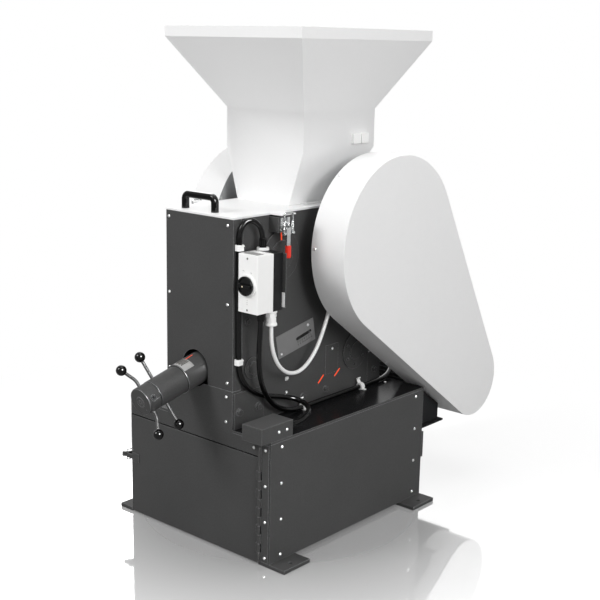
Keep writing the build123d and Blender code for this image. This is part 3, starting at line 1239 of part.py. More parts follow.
NODES = {
    "foot_plates": foot_plates, "cabinet_inner_frame": cabinet_inner_frame,
    "cabinet_top_plate": cabinet_top_plate, "cabinet_panels": cabinet_panels,
    "door_hinge_frame_side": door_hinge_frame_side, "door_panel": door_panel, "latch_keeper": latch_keeper,
    "latch_base": latch_base, "draw_latch": draw_latch, "interlock_block": interlock_block, "drawer": drawer,
    "frame_side_plates": frame_side_plates, "frame_cross_members": frame_cross_members,
    "tower_covers": lambda: front_covers() + rear_cover(), "cheek_plates": cheek_plates,
    "housings_and_covers": housings_and_covers, "frame_shafts_and_bearings": frame_shafts_and_bearings,
    "front_jaw_arm": front_jaw_arm,
    "front_jaw_plate": lambda: jaw_plate(FRONT_FACE_TOP, FRONT_FACE_LOW, 1),
    "rear_jaw_arm": rear_jaw_arm,
    "rear_jaw_plate": lambda: jaw_plate(REAR_FACE_TOP, REAR_FACE_LOW, -1),
    "toggle_plate": toggle_plate, "barrel_housing": barrel_housing, "lock_sleeve": lock_sleeve,
    "lock_lever_arms": lock_lever_arms,
    "lock_lever_balls": lock_lever_balls, "adjuster_hub": adjuster_hub,
    "adjuster_lever_arms": adjuster_lever_arms, "adjuster_lever_balls": adjuster_lever_balls,
    "spindle": spindle, "scale_and_rating_plates": scale_and_rating_plates, "flywheel_left": flywheel_left,
    "flywheel_pulley": flywheel_pulley, "eccentric_shaft": eccentric_shaft, "drive_belts": drive_belts,
    "motor": motor, "motor_pulley": motor_pulley, "motor_shelf": motor_shelf, "belt_guard": belt_guard,
    "flywheel_guard": flywheel_guard, "guard_back_plates": guard_back_plates, "lid_plate": lid_plate,
    "lid_hinge": lid_hinge, "hopper": hopper, "bridge_handle": bridge_handle, "hopper_switch": hopper_switch,
    "clamp_bases": lambda: clamp_base() + on_left(clamp_base()),
    "clamp_lever_right": clamp_lever, "clamp_grip_right": clamp_grip, "clamp_bail_right": clamp_bail,
    "clamp_lever_left": lambda: on_left(clamp_lever() + clamp_grip()),
    "clamp_bail_left": lambda: on_left(clamp_bail()),
    "starter_base": starter_base, "starter_cover": starter_cover, "starter_knob": starter_knob,
    "conduits": conduits, "white_cable": white_cable, "clips_and_glands": clips_and_glands,
    "button_screws": button_screws, "hopper_screws": hopper_screws,
}


def on_left(pieces):
    return [other_side(piece) for piece in pieces]


def solids_of(pieces):
    return [solid for piece in pieces for solid in piece.solids()]


def main():
    os.makedirs("parts", exist_ok=True)
    for name, make in NODES.items():
        export_step(Compound(children=solids_of(make())), f"parts/{name}.step")


main()
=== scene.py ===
"""Floor-standing laboratory jaw crusher, dressed for rendering on the fixed frame of its solids.

Lengths in the tables are millimetres, as on the drawings; meshes are in metres.
+X is the belt-guard side, -Y the operator's side, +Z up, with the origin on the floor.
"""
import json
import math

import bmesh
import bpy
from mathutils import Matrix, Vector


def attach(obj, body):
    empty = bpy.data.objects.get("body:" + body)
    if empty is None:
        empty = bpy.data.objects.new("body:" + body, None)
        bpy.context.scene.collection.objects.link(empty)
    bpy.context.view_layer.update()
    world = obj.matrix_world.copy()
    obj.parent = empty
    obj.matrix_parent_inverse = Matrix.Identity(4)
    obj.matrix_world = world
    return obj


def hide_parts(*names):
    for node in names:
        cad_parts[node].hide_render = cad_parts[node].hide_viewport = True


bl_info = {
    "name": "Laboratory Jaw Crusher",
    "version": (1, 0, 0),
    "blender": (4, 5, 0),
    "location": "View3D > Sidebar > Jaw Crusher",
    "description": "Builds the painted, machined and moulded pieces of a floor-standing laboratory "
                   "jaw crusher",
    "category": "Object",
}

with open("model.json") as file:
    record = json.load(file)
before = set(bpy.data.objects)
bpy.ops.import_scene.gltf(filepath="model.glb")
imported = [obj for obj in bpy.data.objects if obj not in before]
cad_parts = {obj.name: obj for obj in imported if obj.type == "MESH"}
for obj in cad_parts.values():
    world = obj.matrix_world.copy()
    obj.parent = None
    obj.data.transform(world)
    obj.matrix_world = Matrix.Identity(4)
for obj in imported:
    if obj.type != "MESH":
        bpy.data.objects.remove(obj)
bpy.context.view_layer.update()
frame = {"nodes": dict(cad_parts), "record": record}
BODY = {node: body for body, nodes in frame["record"]["behaviour"]["bodies"].items() for node in nodes}
SLOT = {row["node"]: row["material_slot"] for row in frame["record"]["subparts"]}

# ------------------------------------------------------------------ places shared with the solids
FRONT = -387.0                         # front faces of cabinet and tower
MIDDLE = 9.0                           # the tower's middle, which the left side mirrors about
COVER_SIDE = 153.0                     # right edge of the tower's front cover
PLATE_SIDE = 151.0                     # outer face of the right side plate
COVER_FACE = 157.0                     # outer face of the round shaft covers
BASE_SIDE = 312.0                      # outer faces of the cabinet's side panels
BASE_TOP = 400.0
DOOR_TOP = 341.0
SEAL_ENDS = (-300.0, 262.0)            # ends of the seal on top of the door, X
FLANGE_TOP = 1050.5                    # top of the hopper's foot flange

SHAFT = (168.0, 922.0)                 # main shaft, Y and Z
MOTOR = (648.0, 380.0)                 # motor's axis, Y and Z
MOTOR_MIDDLE = 15.0                    # middle of its finned body, X
MOTOR_R = 96.0
GUARD_R = 286.7                        # belt guard's rounding about the shaft
GUARD_SMALL_R = 132.2                  # and about the motor
GUARD_RIM = 236.0                      # middle of the belt guard's rim, X
FLYWHEEL_RIM = -216.0                  # middle of the flywheel guard's rim, X

ADJUST = (-9.0, FRONT, 558.0)          # where the adjuster's axis meets the tower's front
ADJUST_TILT = math.radians(14.0)
BARREL_R = 47.5
SLEEVE_R = 44.0
HUB_R = 43.0
BARREL_END = 72.0                      # these five run along the adjuster's axis, from the tower's front
RATING = (28.0, 69.0)
SLEEVE_END = 180.0
HUB_SCREW_AT = 207.0
HUB_FACE = 227.0

CLAMP_PIVOT = (203.0, -207.0, 1000.0)
CLAMP_BASE_FACE = 193.0
CLAMP_LEG = 19.0                       # each leg of the bail from the pivot, along Y
STARTER_FACE = -385.0
STARTER_RIGHT = 249.0
STARTER_TOP = 946.0
STARTER_LOW = 772.0
KNOB = (208.0, STARTER_FACE - 5.5, 854.0)
TOP_GLAND = (186.0, -297.0)            # the starter's glands, X and Y
LOW_GLAND = (222.0, -340.0)
WHITE_GLAND = (234.0, -308.0)
BLOCK_GLAND = (291.0, -292.0, 425.0)   # conduit's nut at the interlock block
SLOT_ENDS = ((-95.9, 630.6), (-33.8, 646.1))    # ends of the gap scale's slot, Y and Z

# ------------------------------------------------------------------ the photograph's viewpoint
CAMERA_PLACE = (2.4157, -2.6938, 1.5459)
CAMERA_HEADING = 40.96                 # degrees, as are the next two
CAMERA_DIP = 12.90
CAMERA_ROLL = 1.136
SENSOR = 36.0


def linear(text):
    """sRGB hex to the linear RGBA that shaders work in."""
    parts = [int(text[i:i + 2], 16) / 255 for i in (0, 2, 4)]
    return [c / 12.92 if c <= 0.04045 else ((c + 0.055) / 1.055) ** 2.4 for c in parts] + [1.0]


def metres(*place):
    """Millimetres to the metres that meshes are in."""
    return Vector(place) / 1000


# ------------------------------------------------------------------ what a user would change
class CrusherFinishes(bpy.types.PropertyGroup):
    """Colours of the machine's finishes."""
    dark_coat: bpy.props.FloatVectorProperty(
        name="Dark powder coat", description="Anthracite fine-texture powder coat of cabinet and frame",
        subtype="COLOR", size=4, min=0, max=1, default=linear("484848"))
    white_coat: bpy.props.FloatVectorProperty(
        name="White powder coat", description="White powder coat of hopper, lid and guards",
        subtype="COLOR", size=4, min=0, max=1, default=linear("F0F0F0"))
    grip: bpy.props.FloatVectorProperty(
        name="Clamp grip", description="Dipped vinyl on the clamp lever",
        subtype="COLOR", size=4, min=0, max=1, default=linear("E8392B"))
    mark: bpy.props.FloatVectorProperty(
        name="Witness paint", description="Lacquer strokes that show whether a joint has moved",
        subtype="COLOR", size=4, min=0, max=1, default=linear("F4512A"))


class CrusherSizes(bpy.types.PropertyGroup):
    """Sizes of the edges, screws and tubes that are made here."""
    sheet_edge: bpy.props.FloatProperty(
        name="Sheet edge", description="Rounding of folded and coated sheet edges",
        subtype="DISTANCE", unit="LENGTH", min=0.0001, max=0.004, default=0.0009)
    screw_head: bpy.props.FloatProperty(
        name="Button head", description="Radius of the button-head screws",
        subtype="DISTANCE", unit="LENGTH", min=0.002, max=0.008, default=0.005)
    conduit: bpy.props.FloatProperty(
        name="Conduit", description="Outer radius of the black conduits",
        subtype="DISTANCE", unit="LENGTH", min=0.004, max=0.012, default=0.008)
    cable: bpy.props.FloatProperty(
        name="White cable", description="Outer radius of the white cable",
        subtype="DISTANCE", unit="LENGTH", min=0.003, max=0.009, default=0.006)
    coat_grain: bpy.props.FloatProperty(
        name="Coat grain", description="Width of one grain of the textured powder coat",
        subtype="DISTANCE", unit="LENGTH", min=0.0002, max=0.006, default=0.0042)


class CrusherStage(bpy.types.PropertyGroup):
    """Camera and lamps."""
    focal: bpy.props.FloatProperty(
        name="Focal length", description="Lens on a 36 mm wide sensor, in millimetres",
        subtype="DISTANCE_CAMERA", min=20, max=200, default=67.63)
    key: bpy.props.FloatProperty(
        name="Key lamp", description="Power of the large lamp at the front left",
        subtype="POWER", min=0, max=2000, default=116)
    fill: bpy.props.FloatProperty(
        name="Side lamp", description="Power of the large lamp at the right",
        subtype="POWER", min=0, max=2000, default=96)
    top: bpy.props.FloatProperty(
        name="Top lamp", description="Power of the large lamp above",
        subtype="POWER", min=0, max=2000, default=44)
    spark: bpy.props.FloatProperty(
        name="Spark lamp",
        description="Power of the small lamp that puts dots of light on balls and screws",
        subtype="POWER", min=0, max=200, default=10)
    back: bpy.props.FloatProperty(
        name="Back lamp",
        description="Power of the large lamp behind, which lights the sides that the photograph hides",
        subtype="POWER", min=0, max=2000, default=34)
    ambient: bpy.props.FloatProperty(
        name="Ambient", description="Strength of the even light from all round",
        min=0, max=2, default=0.46)


# ------------------------------------------------------------------ shader nodes
# Inputs that go by number: the ends of Map Range, and the two colours of Mix
FROM_LOW, FROM_HIGH, TO_LOW, TO_HIGH = 1, 2, 3, 4
COLOUR_A, COLOUR_B = 6, 7
WHITE = (1.0, 1.0, 1.0, 1.0)


def add_node(tree, kind, values=None, links=None, **settings):
    """Adds a node with its settings; values and links go to inputs by name or number."""
    node = tree.nodes.new(kind)
    for name, value in settings.items():
        setattr(node, name, value)
    for key, value in (values or {}).items():
        node.inputs[key].default_value = value
    for key, socket in (links or {}).items():
        tree.links.new(socket, node.inputs[key])
    return node


def start_material(name):
    """An empty node material with its output, and where the surface patterns are read."""
    material = bpy.data.materials.new(name)
    material.use_nodes = True
    tree = material.node_tree
    tree.nodes.clear()
    output = add_node(tree, "ShaderNodeOutputMaterial")
    place = add_node(tree, "ShaderNodeTexCoord").outputs["Object"]
    return material, tree, output, place


def finish_material(material, tree, output, values, links):
    """Ends the material in one principled shader with these values and links."""
    shader = add_node(tree, "ShaderNodeBsdfPrincipled", values, links)
    tree.links.new(shader.outputs[0], output.inputs["Surface"])
    material.diffuse_color = values.get("Base Color", (0.5, 0.5, 0.5, 1.0))
    return material


def shade(tree, colour, amount, mask):
    """The colour, darkened to lightened by the amount as the mask goes from 0 to 1."""
    low = [max(0.0, c * (1 - amount)) for c in colour[:3]] + [1.0]
    high = [min(1.0, c * (1 + amount)) for c in colour[:3]] + [1.0]
    mix = add_node(tree, "ShaderNodeMix", {COLOUR_A: low, COLOUR_B: high}, {0: mask}, data_type="RGBA")
    return mix.outputs[2]


def edge_wear_and_highlight_mask(tree, radius):
    """1 along rounded edges, where a coat is thinner and handling has polished it, and where a painted edge
    highlight is laid on.
    """
    bevelled = add_node(tree, "ShaderNodeBevel", {"Radius": radius}, samples=4)
    true = add_node(tree, "ShaderNodeNewGeometry")
    dot = add_node(tree, "ShaderNodeVectorMath", links={0: bevelled.outputs[0], 1: true.outputs["Normal"]},
                   operation="DOT_PRODUCT")
    flat, bent = 0.985, 0.80
    mask = add_node(tree, "ShaderNodeMapRange",
                    {FROM_LOW: flat, FROM_HIGH: bent, TO_LOW: 0.0, TO_HIGH: 1.0}, {0: dot.outputs["Value"]})
    return mask.outputs[0]


EDGE_WEAR_AND_HIGHLIGHT = 0.0022                     # how far a coat is thinned round an edge, and how far the painted edge highlight reaches, in metres


def powder_coat(name, colour, grain, roughness, mottle, edge_wear_highlight_tone, edge_wear_highlight_share, ior):
    """Epoxy-polyester powder, sprayed and baked: a fine pebbled skin with soft, broad highlights.

    The real pebbles are about 0.6 mm wide; they are drawn as wide as the grain size so that they show."""
    material, tree, output, place = start_material(name)
    pebbles = add_node(tree, "ShaderNodeTexNoise", {"Scale": 1 / grain, "Detail": 3.0, "Roughness": 0.6},
                       {"Vector": place})
    cloud = add_node(tree, "ShaderNodeTexNoise", {"Scale": 5.0, "Detail": 2.0}, {"Vector": place})
    mask = add_node(tree, "ShaderNodeMath", {1: 0.72}, {0: pebbles.outputs["Fac"]}, operation="MULTIPLY")
    mask = add_node(tree, "ShaderNodeMath", {1: 0.28, 2: 0.0},
                    {0: cloud.outputs["Fac"], 2: mask.outputs[0]}, operation="MULTIPLY_ADD")
    base = shade(tree, colour, mottle, mask.outputs[0])
    # painted highlight: edges are mixed towards the edge tone, partly for the thinner, worn coat and partly
    # standing in for highlights
    edges = add_node(tree, "ShaderNodeMath", {1: edge_wear_highlight_share}, {0: edge_wear_and_highlight_mask(tree, EDGE_WEAR_AND_HIGHLIGHT)},
                     operation="MULTIPLY")
    base = add_node(tree, "ShaderNodeMix", {COLOUR_B: edge_wear_highlight_tone}, {0: edges.outputs[0], COLOUR_A: base},
                    data_type="RGBA").outputs[2]
    rough = add_node(tree, "ShaderNodeMapRange", {FROM_LOW: 0.3, FROM_HIGH: 0.7, TO_LOW: roughness - 0.05,
                                                  TO_HIGH: roughness + 0.07}, {0: pebbles.outputs["Fac"]})
    bump = add_node(tree, "ShaderNodeBump", {"Strength": 0.22, "Distance": 0.0005},
                    {"Height": pebbles.outputs["Fac"]})
    return finish_material(material, tree, output,
                           {"Base Color": colour, "IOR": ior},
                           {"Base Color": base, "Roughness": rough.outputs[0], "Normal": bump.outputs[0]})


def machined_metal(name, colour, roughness, streak, stretch, tarnish, pitting):
    """Ground or turned metal: fine parallel tool marks that break up the highlight."""
    material, tree, output, place = start_material(name)
    drawn = add_node(tree, "ShaderNodeMapping", {"Scale": stretch}, {"Vector": place})
    marks = add_node(tree, "ShaderNodeTexNoise", {"Scale": 1 / streak, "Detail": 4.0, "Roughness": 0.65},
                     {"Vector": drawn.outputs[0]})
    stain = add_node(tree, "ShaderNodeTexNoise", {"Scale": 38.0, "Detail": 3.0}, {"Vector": place})
    base = shade(tree, colour, tarnish, stain.outputs["Fac"])
    rough = add_node(tree, "ShaderNodeMapRange", {FROM_LOW: 0.3, FROM_HIGH: 0.7, TO_LOW: roughness - 0.06,
                                                  TO_HIGH: roughness + 0.09}, {0: marks.outputs["Fac"]})
    bump = add_node(tree, "ShaderNodeBump", {"Strength": 0.16 + pitting, "Distance": 0.0002},
                    {"Height": marks.outputs["Fac"]})
    return finish_material(material, tree, output, {"Base Color": colour, "Metallic": 1.0},
                           {"Base Color": base, "Roughness": rough.outputs[0], "Normal": bump.outputs[0]})


def moulded(name, colour, roughness, grain, depth, ior, glow, mottle):
    """Moulded or printed surface: even colour with slight clouds, and a skin of fine grain."""
    material, tree, output, place = start_material(name)
    skin = add_node(tree, "ShaderNodeTexNoise", {"Scale": 1 / grain, "Detail": 2.0}, {"Vector": place})
    flow = add_node(tree, "ShaderNodeTexNoise", {"Scale": 24.0, "Detail": 2.0}, {"Vector": place})
    base = shade(tree, colour, mottle, flow.outputs["Fac"])
    rough = add_node(tree, "ShaderNodeMapRange",
                     {FROM_LOW: 0.3, FROM_HIGH: 0.7, TO_LOW: max(0.03, roughness - 0.04),
                      TO_HIGH: roughness + 0.05}, {0: flow.outputs["Fac"]})
    bump = add_node(tree, "ShaderNodeBump", {"Strength": depth, "Distance": 0.0003},
                    {"Height": skin.outputs["Fac"]})
    return finish_material(material, tree, output,
                           # painted glow: where glow is above 0 the surface gives off its own colour,
                           # though it is no lamp
                           {"Base Color": colour, "IOR": ior, "Emission Color": colour,
                            "Emission Strength": glow},
                           {"Base Color": base, "Roughness": rough.outputs[0], "Normal": bump.outputs[0]})


# Slot: name, colour, roughness, mottle, tone and share of the worn edges with their painted highlight, IOR.
# A name in the place of a hex value is one of the user's colours. The comments say what each finish gives
# the eye.
COATS = {
    # matt and pebbled, nearly black, and paler along edges, where the coat is thin and a painted highlight
    # lies
    "dark_powder_coat": ("anthracite powder coat, fine texture", "dark_coat",
                         0.5, 0.40, "A4A5A6", 0.8, 1.26),
    # the same coat over filler, without worn edges or a painted edge highlight
    "filled_joint": ("anthracite powder coat over filler", "dark_coat", 0.5, 0.40, "A4A5A6", 0.0, 1.26),
    # painted shade: darker than the standing faces of the same plate, and smooth enough to mirror what
    # stands on it
    "shaded_gloss_powder_coat": ("anthracite powder coat, smooth", "1F1F20", 0.2, 0.1, "707172", 0.5, 1.10),
    # painted shade: dull brushed black for steelwork that lies in shadow
    "chassis_paint": ("chassis paint, black", "161617", 0.55, 0.3, "4A4B4C", 0.5, 1.2),
    # even, neutral white with a soft, broad sheen, and a painted highlight along its edges
    "white_powder_coat": ("white powder coat, fine texture", "white_coat",
                          0.46, 0.022, "FFFFFF", 0.8, 1.35),
}

# Slot: name, colour, roughness, width of a tool mark in metres, its stretch, tarnish, pitting
METALS = {
    # bright, with rings round the axis
    "bare_steel": ("turned steel", "8F8F8D", 0.34, 0.0009, (1, 1, 6), 0.12, 0.0),
    # clear grey with soft cloudy stains
    "zinc_plated_steel": ("zinc-plated pressed steel", "C2C4C4", 0.24, 0.003, (1, 1, 1), 0.16, 0.0),
    # nearly white sparks of light
    "polished_screw": ("stainless steel, tumbled", "F4F4F4", 0.28, 0.003, (1, 1, 1), 0.05, 0.0),
    # darker, open-grained turning
    "cast_iron": ("turned cast iron", "76777A", 0.46, 0.0016, (1, 3, 3), 0.2, 0.2),
    # rough and pitted casting
    "manganese_steel": ("cast manganese steel", "6C6A67", 0.55, 0.004, (1, 1, 1), 0.3, 0.5),
    # thin bright line where a coat has gone
    "worn_edge": ("steel showing at a worn coat edge", "7E7F80", 0.4, 0.0016, (1, 1, 1), 0.3, 0.0),
}

# Slot: name, colour, roughness, width of a grain in metres, depth of the grain, IOR, painted glow, mottle
MOULDINGS = {
    # pale, slightly clouded sheet edge
    "zinc_plated_sheet": ("zinc-plated sheet, passivated", "B4B6B7", 0.36, 0.004, 0.05, 1.6, 0.0, 0.1),
    # even mid grey with a satin sheen
    "aluminium_plate": ("anodised aluminium, grey", "7E7E7E", 0.34, 0.0012, 0.05, 1.5, 0.0, 0.08),
    # silvery film that shines as one sheet
    "printed_foil": ("printed foil label, silver", "B0B0AF", 0.26, 0.002, 0.02, 1.6, 0.0, 0.04),
    # dark grey rod with one long highlight
    "satin_steel": ("phosphated steel rod, grey", "525252", 0.36, 0.0012, 0.04, 1.45, 0.0, 0.05),
    # deep black ball with sharp dots of light
    "black_gloss_plastic": ("polished phenolic, black", "040404", 0.05, 0.004, 0.01, 1.46, 0.0, 0.06),
    # black hose with a narrow bright line along it
    "conduit_plastic": ("extruded polyamide, black", "080808", 0.13, 0.003, 0.02, 1.42, 0.0, 0.06),
    # dull black housing
    "black_plastic": ("moulded ABS, black, matt", "1A1A1B", 0.42, 0.0012, 0.12, 1.3, 0.0, 0.06),
    # black with a soft sheen on the rim
    "knob_plastic": ("moulded polyamide, black, satin", "0C0C0D", 0.24, 0.002, 0.04, 1.36, 0.0, 0.06),
    # brown-black, clouded by oil
    "black_oxide_steel": ("blackened steel", "161617", 0.30, 0.0012, 0.10, 1.5, 0.0, 0.3),
    # clean bright white with soft edges of light
    "white_plastic": ("moulded ABS, white", "FCFCFB", 0.32, 0.0015, 0.05, 1.42, 0.0, 0.02),
    # rubbery red, with a painted glow that keeps its colour in shade
    "red_vinyl": ("dipped vinyl, red", "grip", 0.34, 0.003, 0.10, 1.42, 0.12, 0.08),
    # dusty black without a highlight
    "belt_rubber": ("moulded rubber, black", "1A1A1A", 0.72, 0.0016, 0.35, 1.4, 0.0, 0.2),
    # fluorescent orange with a painted glow, as if lit by itself
    "witness_lacquer": ("fluorescent lacquer, orange", "mark", 0.5, 0.002, 0.2, 1.3, 0.75, 0.12),
    # flat inks and the inlaid mark, without a sheen of their own
    "black_print": ("screen-printed ink, black", "101010", 0.6, 0.001, 0.02, 1.2, 0.0, 0.06),
    "grey_print": ("screen-printed ink, grey", "45423E", 0.5, 0.001, 0.02, 1.3, 0.0, 0.06),
    "pale_mark": ("inlaid pointer mark, cream", "F1E4C8", 0.4, 0.001, 0.02, 1.4, 0.0, 0.06),
}


def tone(colour):
    """Linear colour of a hex value, or of one of the user's colours by its name."""
    chosen = getattr(bpy.context.scene.crusher_finishes, colour, None)
    return linear(colour) if chosen is None else list(chosen)


def make_finish(slot):
    """The material for a slot of the record, or for a finish that is used here only."""
    if slot in COATS:
        name, colour, roughness, mottle, edge_wear_highlight_tone, edge_wear_highlight_share, ior = COATS[slot]
        grain = bpy.context.scene.crusher_sizes.coat_grain
        return powder_coat(name, tone(colour), grain, roughness, mottle, linear(edge_wear_highlight_tone), edge_wear_highlight_share, ior)
    for table, maker in ((METALS, machined_metal), (MOULDINGS, moulded)):
        if slot in table:
            name, colour, *values = table[slot]
            return maker(name, tone(colour), *values)
    raise ValueError(f"no finish is defined for {slot}")


FINISH = {}


def finish(slot):
    """The slot's material, made when it is first asked for."""
    if slot not in FINISH:
        FINISH[slot] = make_finish(slot)
    return FINISH[slot]


# ------------------------------------------------------------------ mesh helpers
def link(name, data):
    """A new object of the scene that holds the data."""
    made = bpy.data.objects.new(name, data)
    bpy.context.scene.collection.objects.link(made)
    return made


def baked(holder):
    """Plain mesh of what the object shows with its modifiers; the object itself goes."""
    mesh = bpy.data.meshes.new_from_object(holder.evaluated_get(bpy.context.evaluated_depsgraph_get()))
    bpy.data.objects.remove(holder)
    return mesh


def add_piece(name, mesh, body, surface, stands_for=()):
    """Links the mesh as a piece that rides on a body, with its finish."""
    piece = link(name, mesh)
    mesh.materials.clear()
    mesh.materials.append(finish(surface))
    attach(piece, body)
    if stands_for:
        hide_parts(*stands_for)
    return piece


def smooth(mesh, angle=38.0):
    """Smooth shading that keeps edges sharper than the angle."""
    mesh.polygons.foreach_set("use_smooth", [True] * len(mesh.polygons))
    mesh.set_sharp_from_angle(angle=math.radians(angle))
    mesh.update()
    return mesh


def weighted(mesh):
    """The mesh with normals weighted by face area, so that rounded edges meet flat faces cleanly."""
    holder = link("normals", mesh)
    modifier = holder.modifiers.new("normals", "WEIGHTED_NORMAL")
    modifier.keep_sharp = True
    modifier.weight = 60
    return baked(holder)


def to_mesh(bm, name, angle=38.0, weigh=True):
    """Smooth-shaded mesh of what was made, which is freed."""
    mesh = bpy.data.meshes.new(name)
    bm.to_mesh(mesh)
    bm.free()
    smooth(mesh, angle)
    return weighted(mesh) if weigh else mesh


def made_piece(bm, name, body, surface, angle=38.0, weigh=True):
    """Adds what was made as a piece that isn't in the solids."""
    return add_piece(name, to_mesh(bm, name, angle, weigh), body, surface)


def round_edges(bm, width, segments=2, angle=28.0):
    """Rounds the outward edges that are sharper than the angle, by a width in metres."""
    edges = [e for e in bm.edges if e.is_manifold and e.is_convex
             and e.calc_face_angle() > math.radians(angle)]
    if edges:
        bmesh.ops.bevel(bm, geom=edges, offset=width, offset_type="OFFSET", segments=segments, profile=0.5,
                        affect="EDGES", clamp_overlap=False, loop_slide=True)
    return bm


WELD = 0.00001                         # metres between vertices that are one
FLAT = math.radians(0.4)               # between triangles of one flat face


def solid_of(node):
    """Welded copy of a solid's triangles, with its flat faces whole again."""
    bm = bmesh.new()
    bm.from_mesh(frame["nodes"][node].data)
    bmesh.ops.remove_doubles(bm, verts=bm.verts, dist=WELD)
    bmesh.ops.dissolve_limit(bm, angle_limit=FLAT, verts=bm.verts, edges=bm.edges)
    return bm


def islands(bm):
    """The separate solids of a mesh, each as a list of its vertices."""
    left = set(bm.verts)
    groups = []
    while left:
        group = [left.pop()]
        for vert in group:
            beside = {edge.other_vert(vert) for edge in vert.link_edges} & left
            left -= beside
            group.extend(beside)
        groups.append(group)
    return groups


def middle(group):
    """Centre of the vertices' box, in millimetres."""
    low = Vector([min(vert.co[axis] for vert in group) for axis in range(3)])
    high = Vector([max(vert.co[axis] for vert in group) for axis in range(3)])
    return (low + high) * 500


def dress(node, width=None, segments=2, surface=None, keep=None, name=None):
    """Stands a welded, edge-rounded and smooth-shaded copy in the place of a node.

    The width is in millimetres, and the sheet edge's where none is given. Keep picks some of the node's
    solids by their middle, for a node with more than one finish."""
    bm = solid_of(node)
    if keep:
        for group in islands(bm):
            if not keep(middle(group)):
                bmesh.ops.delete(bm, geom=group, context="VERTS")
    width = bpy.context.scene.crusher_sizes.sheet_edge if width is None else width / 1000
    if width:
        round_edges(bm, width, segments)
    name = name or f"{node}_finished"
    return add_piece(name, to_mesh(bm, name), BODY[node], surface or SLOT[node], [node])


def coat(node, surface=None):
    """Gives a node that stays as it is its material."""
    part = frame["nodes"][node]
    part.data.materials.clear()
    part.data.materials.append(finish(surface or SLOT[node]))


def box(bm, x, y, z, turn=None):
    """Box between pairs of millimetres, turned by a matrix if given."""
    made = bmesh.ops.create_cube(bm, size=1.0)["verts"]
    size = Vector((abs(x[1] - x[0]), abs(y[1] - y[0]), abs(z[1] - z[0])))
    middle = Vector(((x[0] + x[1]) / 2, (y[0] + y[1]) / 2, (z[0] + z[1]) / 2))
    for vert in made:
        vert.co = (Vector([a * b for a, b in zip(vert.co, size)]) + middle) / 1000
        if turn:
            vert.co = turn @ vert.co
    return made


def turned(bm, profile, place, sides=40, shape=None, closed=True):
    """Solid of revolution about the place's Z axis from (radius, height) pairs, in millimetres.

    Shape may change a ring's radius with the angle, for flats and grip ribs; an open one is a ring."""
    rings = []
    for number, (radius, height) in enumerate(profile):
        ring = []
        for step in range(sides):
            angle = 2 * math.pi * step / sides
            reach = shape(number, radius, angle) if shape else radius
            spot = Vector((reach * math.cos(angle), reach * math.sin(angle), height)) / 1000
            ring.append(bm.verts.new(place @ spot))
        rings.append(ring)
    for low, high in zip(rings, rings[1:]):
        for step in range(sides):
            nxt = (step + 1) % sides
            bm.faces.new((low[step], low[nxt], high[nxt], high[step]))
    if closed:
        bm.faces.new(list(reversed(rings[0])))
        bm.faces.new(rings[-1])
    else:
        for step in range(sides):
            nxt = (step + 1) % sides
            bm.faces.new((rings[-1][step], rings[-1][nxt], rings[0][nxt], rings[0][step]))
    return rings


INK = 0.00004                          # half the thickness of printed characters, in metres


def printed(bm, text, size, place):
    """Adds flat printed characters, their size in millimetres, on the XY plane of the place."""
    curve = bpy.data.curves.new("print", "FONT")
    curve.body = text
    curve.size = size / 1000
    curve.align_x = "CENTER"
    curve.align_y = "CENTER"
    curve.extrude = INK
    curve.resolution_u = 3
    mesh = baked(link("print", curve))
    mesh.transform(place)
    bm.from_mesh(mesh)


def stroke(bm, start, end, width, out, thick=0.35):
    """Brush stroke with round ends between two places on a face that looks along out, in millimetres."""
    start, end, out = Vector(start), Vector(end), Vector(out).normalized()
    along = (end - start).normalized()
    across = out.cross(along)
    rim = []
    steps = 6
    for centre, way in ((end, 1), (start, -1)):
        for step in range(steps + 1):
            angle = math.pi * (step / steps - 0.5)
            spoke = along * way * math.cos(angle) + across * way * math.sin(angle)
            rim.append(centre + spoke * width / 2)
    low = [bm.verts.new(spot / 1000) for spot in rim]
    high = [bm.verts.new((spot + out * thick) / 1000) for spot in rim]
    bm.faces.new(high)
    bm.faces.new(list(reversed(low)))
    for number in range(len(rim)):
        after = (number + 1) % len(rim)
        bm.faces.new((low[number], low[after], high[after], high[number]))


def on_barrel(along, degrees, radius):
    """Place on a cylinder round the adjuster's axis, in millimetres; 90 degrees is its top."""
    turn = math.radians(degrees)
    place = adjuster_place(along) @ Matrix.Translation(
        metres(radius * math.cos(turn), radius * math.sin(turn), 0))
    return place.translation * 1000


def barrel_band(bm, along, span, radius, thick=0.08):
    """Thin printed band bent round the barrel between two distances and two angles."""
    steps = max(2, int(abs(span[1] - span[0]) / 6))
    turns = [span[0] + (span[1] - span[0]) * step / steps for step in range(steps + 1)]
    (start, end), inside = along, radius - thick
    corners = ((start, radius), (end, radius), (end, inside), (start, inside))
    rows = [[bm.verts.new(on_barrel(distance, turn, reach) / 1000) for turn in turns]
            for distance, reach in corners]
    made = []
    for row, after in zip(rows, rows[1:] + rows[:1]):
        for step in range(steps):
            made.append(bm.faces.new((row[step], row[step + 1], after[step + 1], after[step])))
    made += [bm.faces.new([row[end] for row in rows]) for end in (0, -1)]
    bmesh.ops.recalc_face_normals(bm, faces=made)


def round_spot(x, axis, radius, degrees):
    """Place on a cylinder about an axis along X, and the direction out of it."""
    way = (0, math.cos(math.radians(degrees)), math.sin(math.radians(degrees)))
    return (x, axis[0] + radius * way[1], axis[1] + radius * way[2]), way


def facing(place, way, spin=0.0):
    """Matrix that stands Z along the way at a place in millimetres."""
    turn = Vector(way).to_track_quat("Z", "Y").to_matrix().to_4x4()
    return Matrix.Translation(metres(*place)) @ turn @ Matrix.Rotation(math.radians(spin), 4, "Z")


def mirrored(x, side):
    """The distance itself on the right, and its mirror image about the tower's middle on the left."""
    return x if side > 0 else 2 * MIDDLE - x


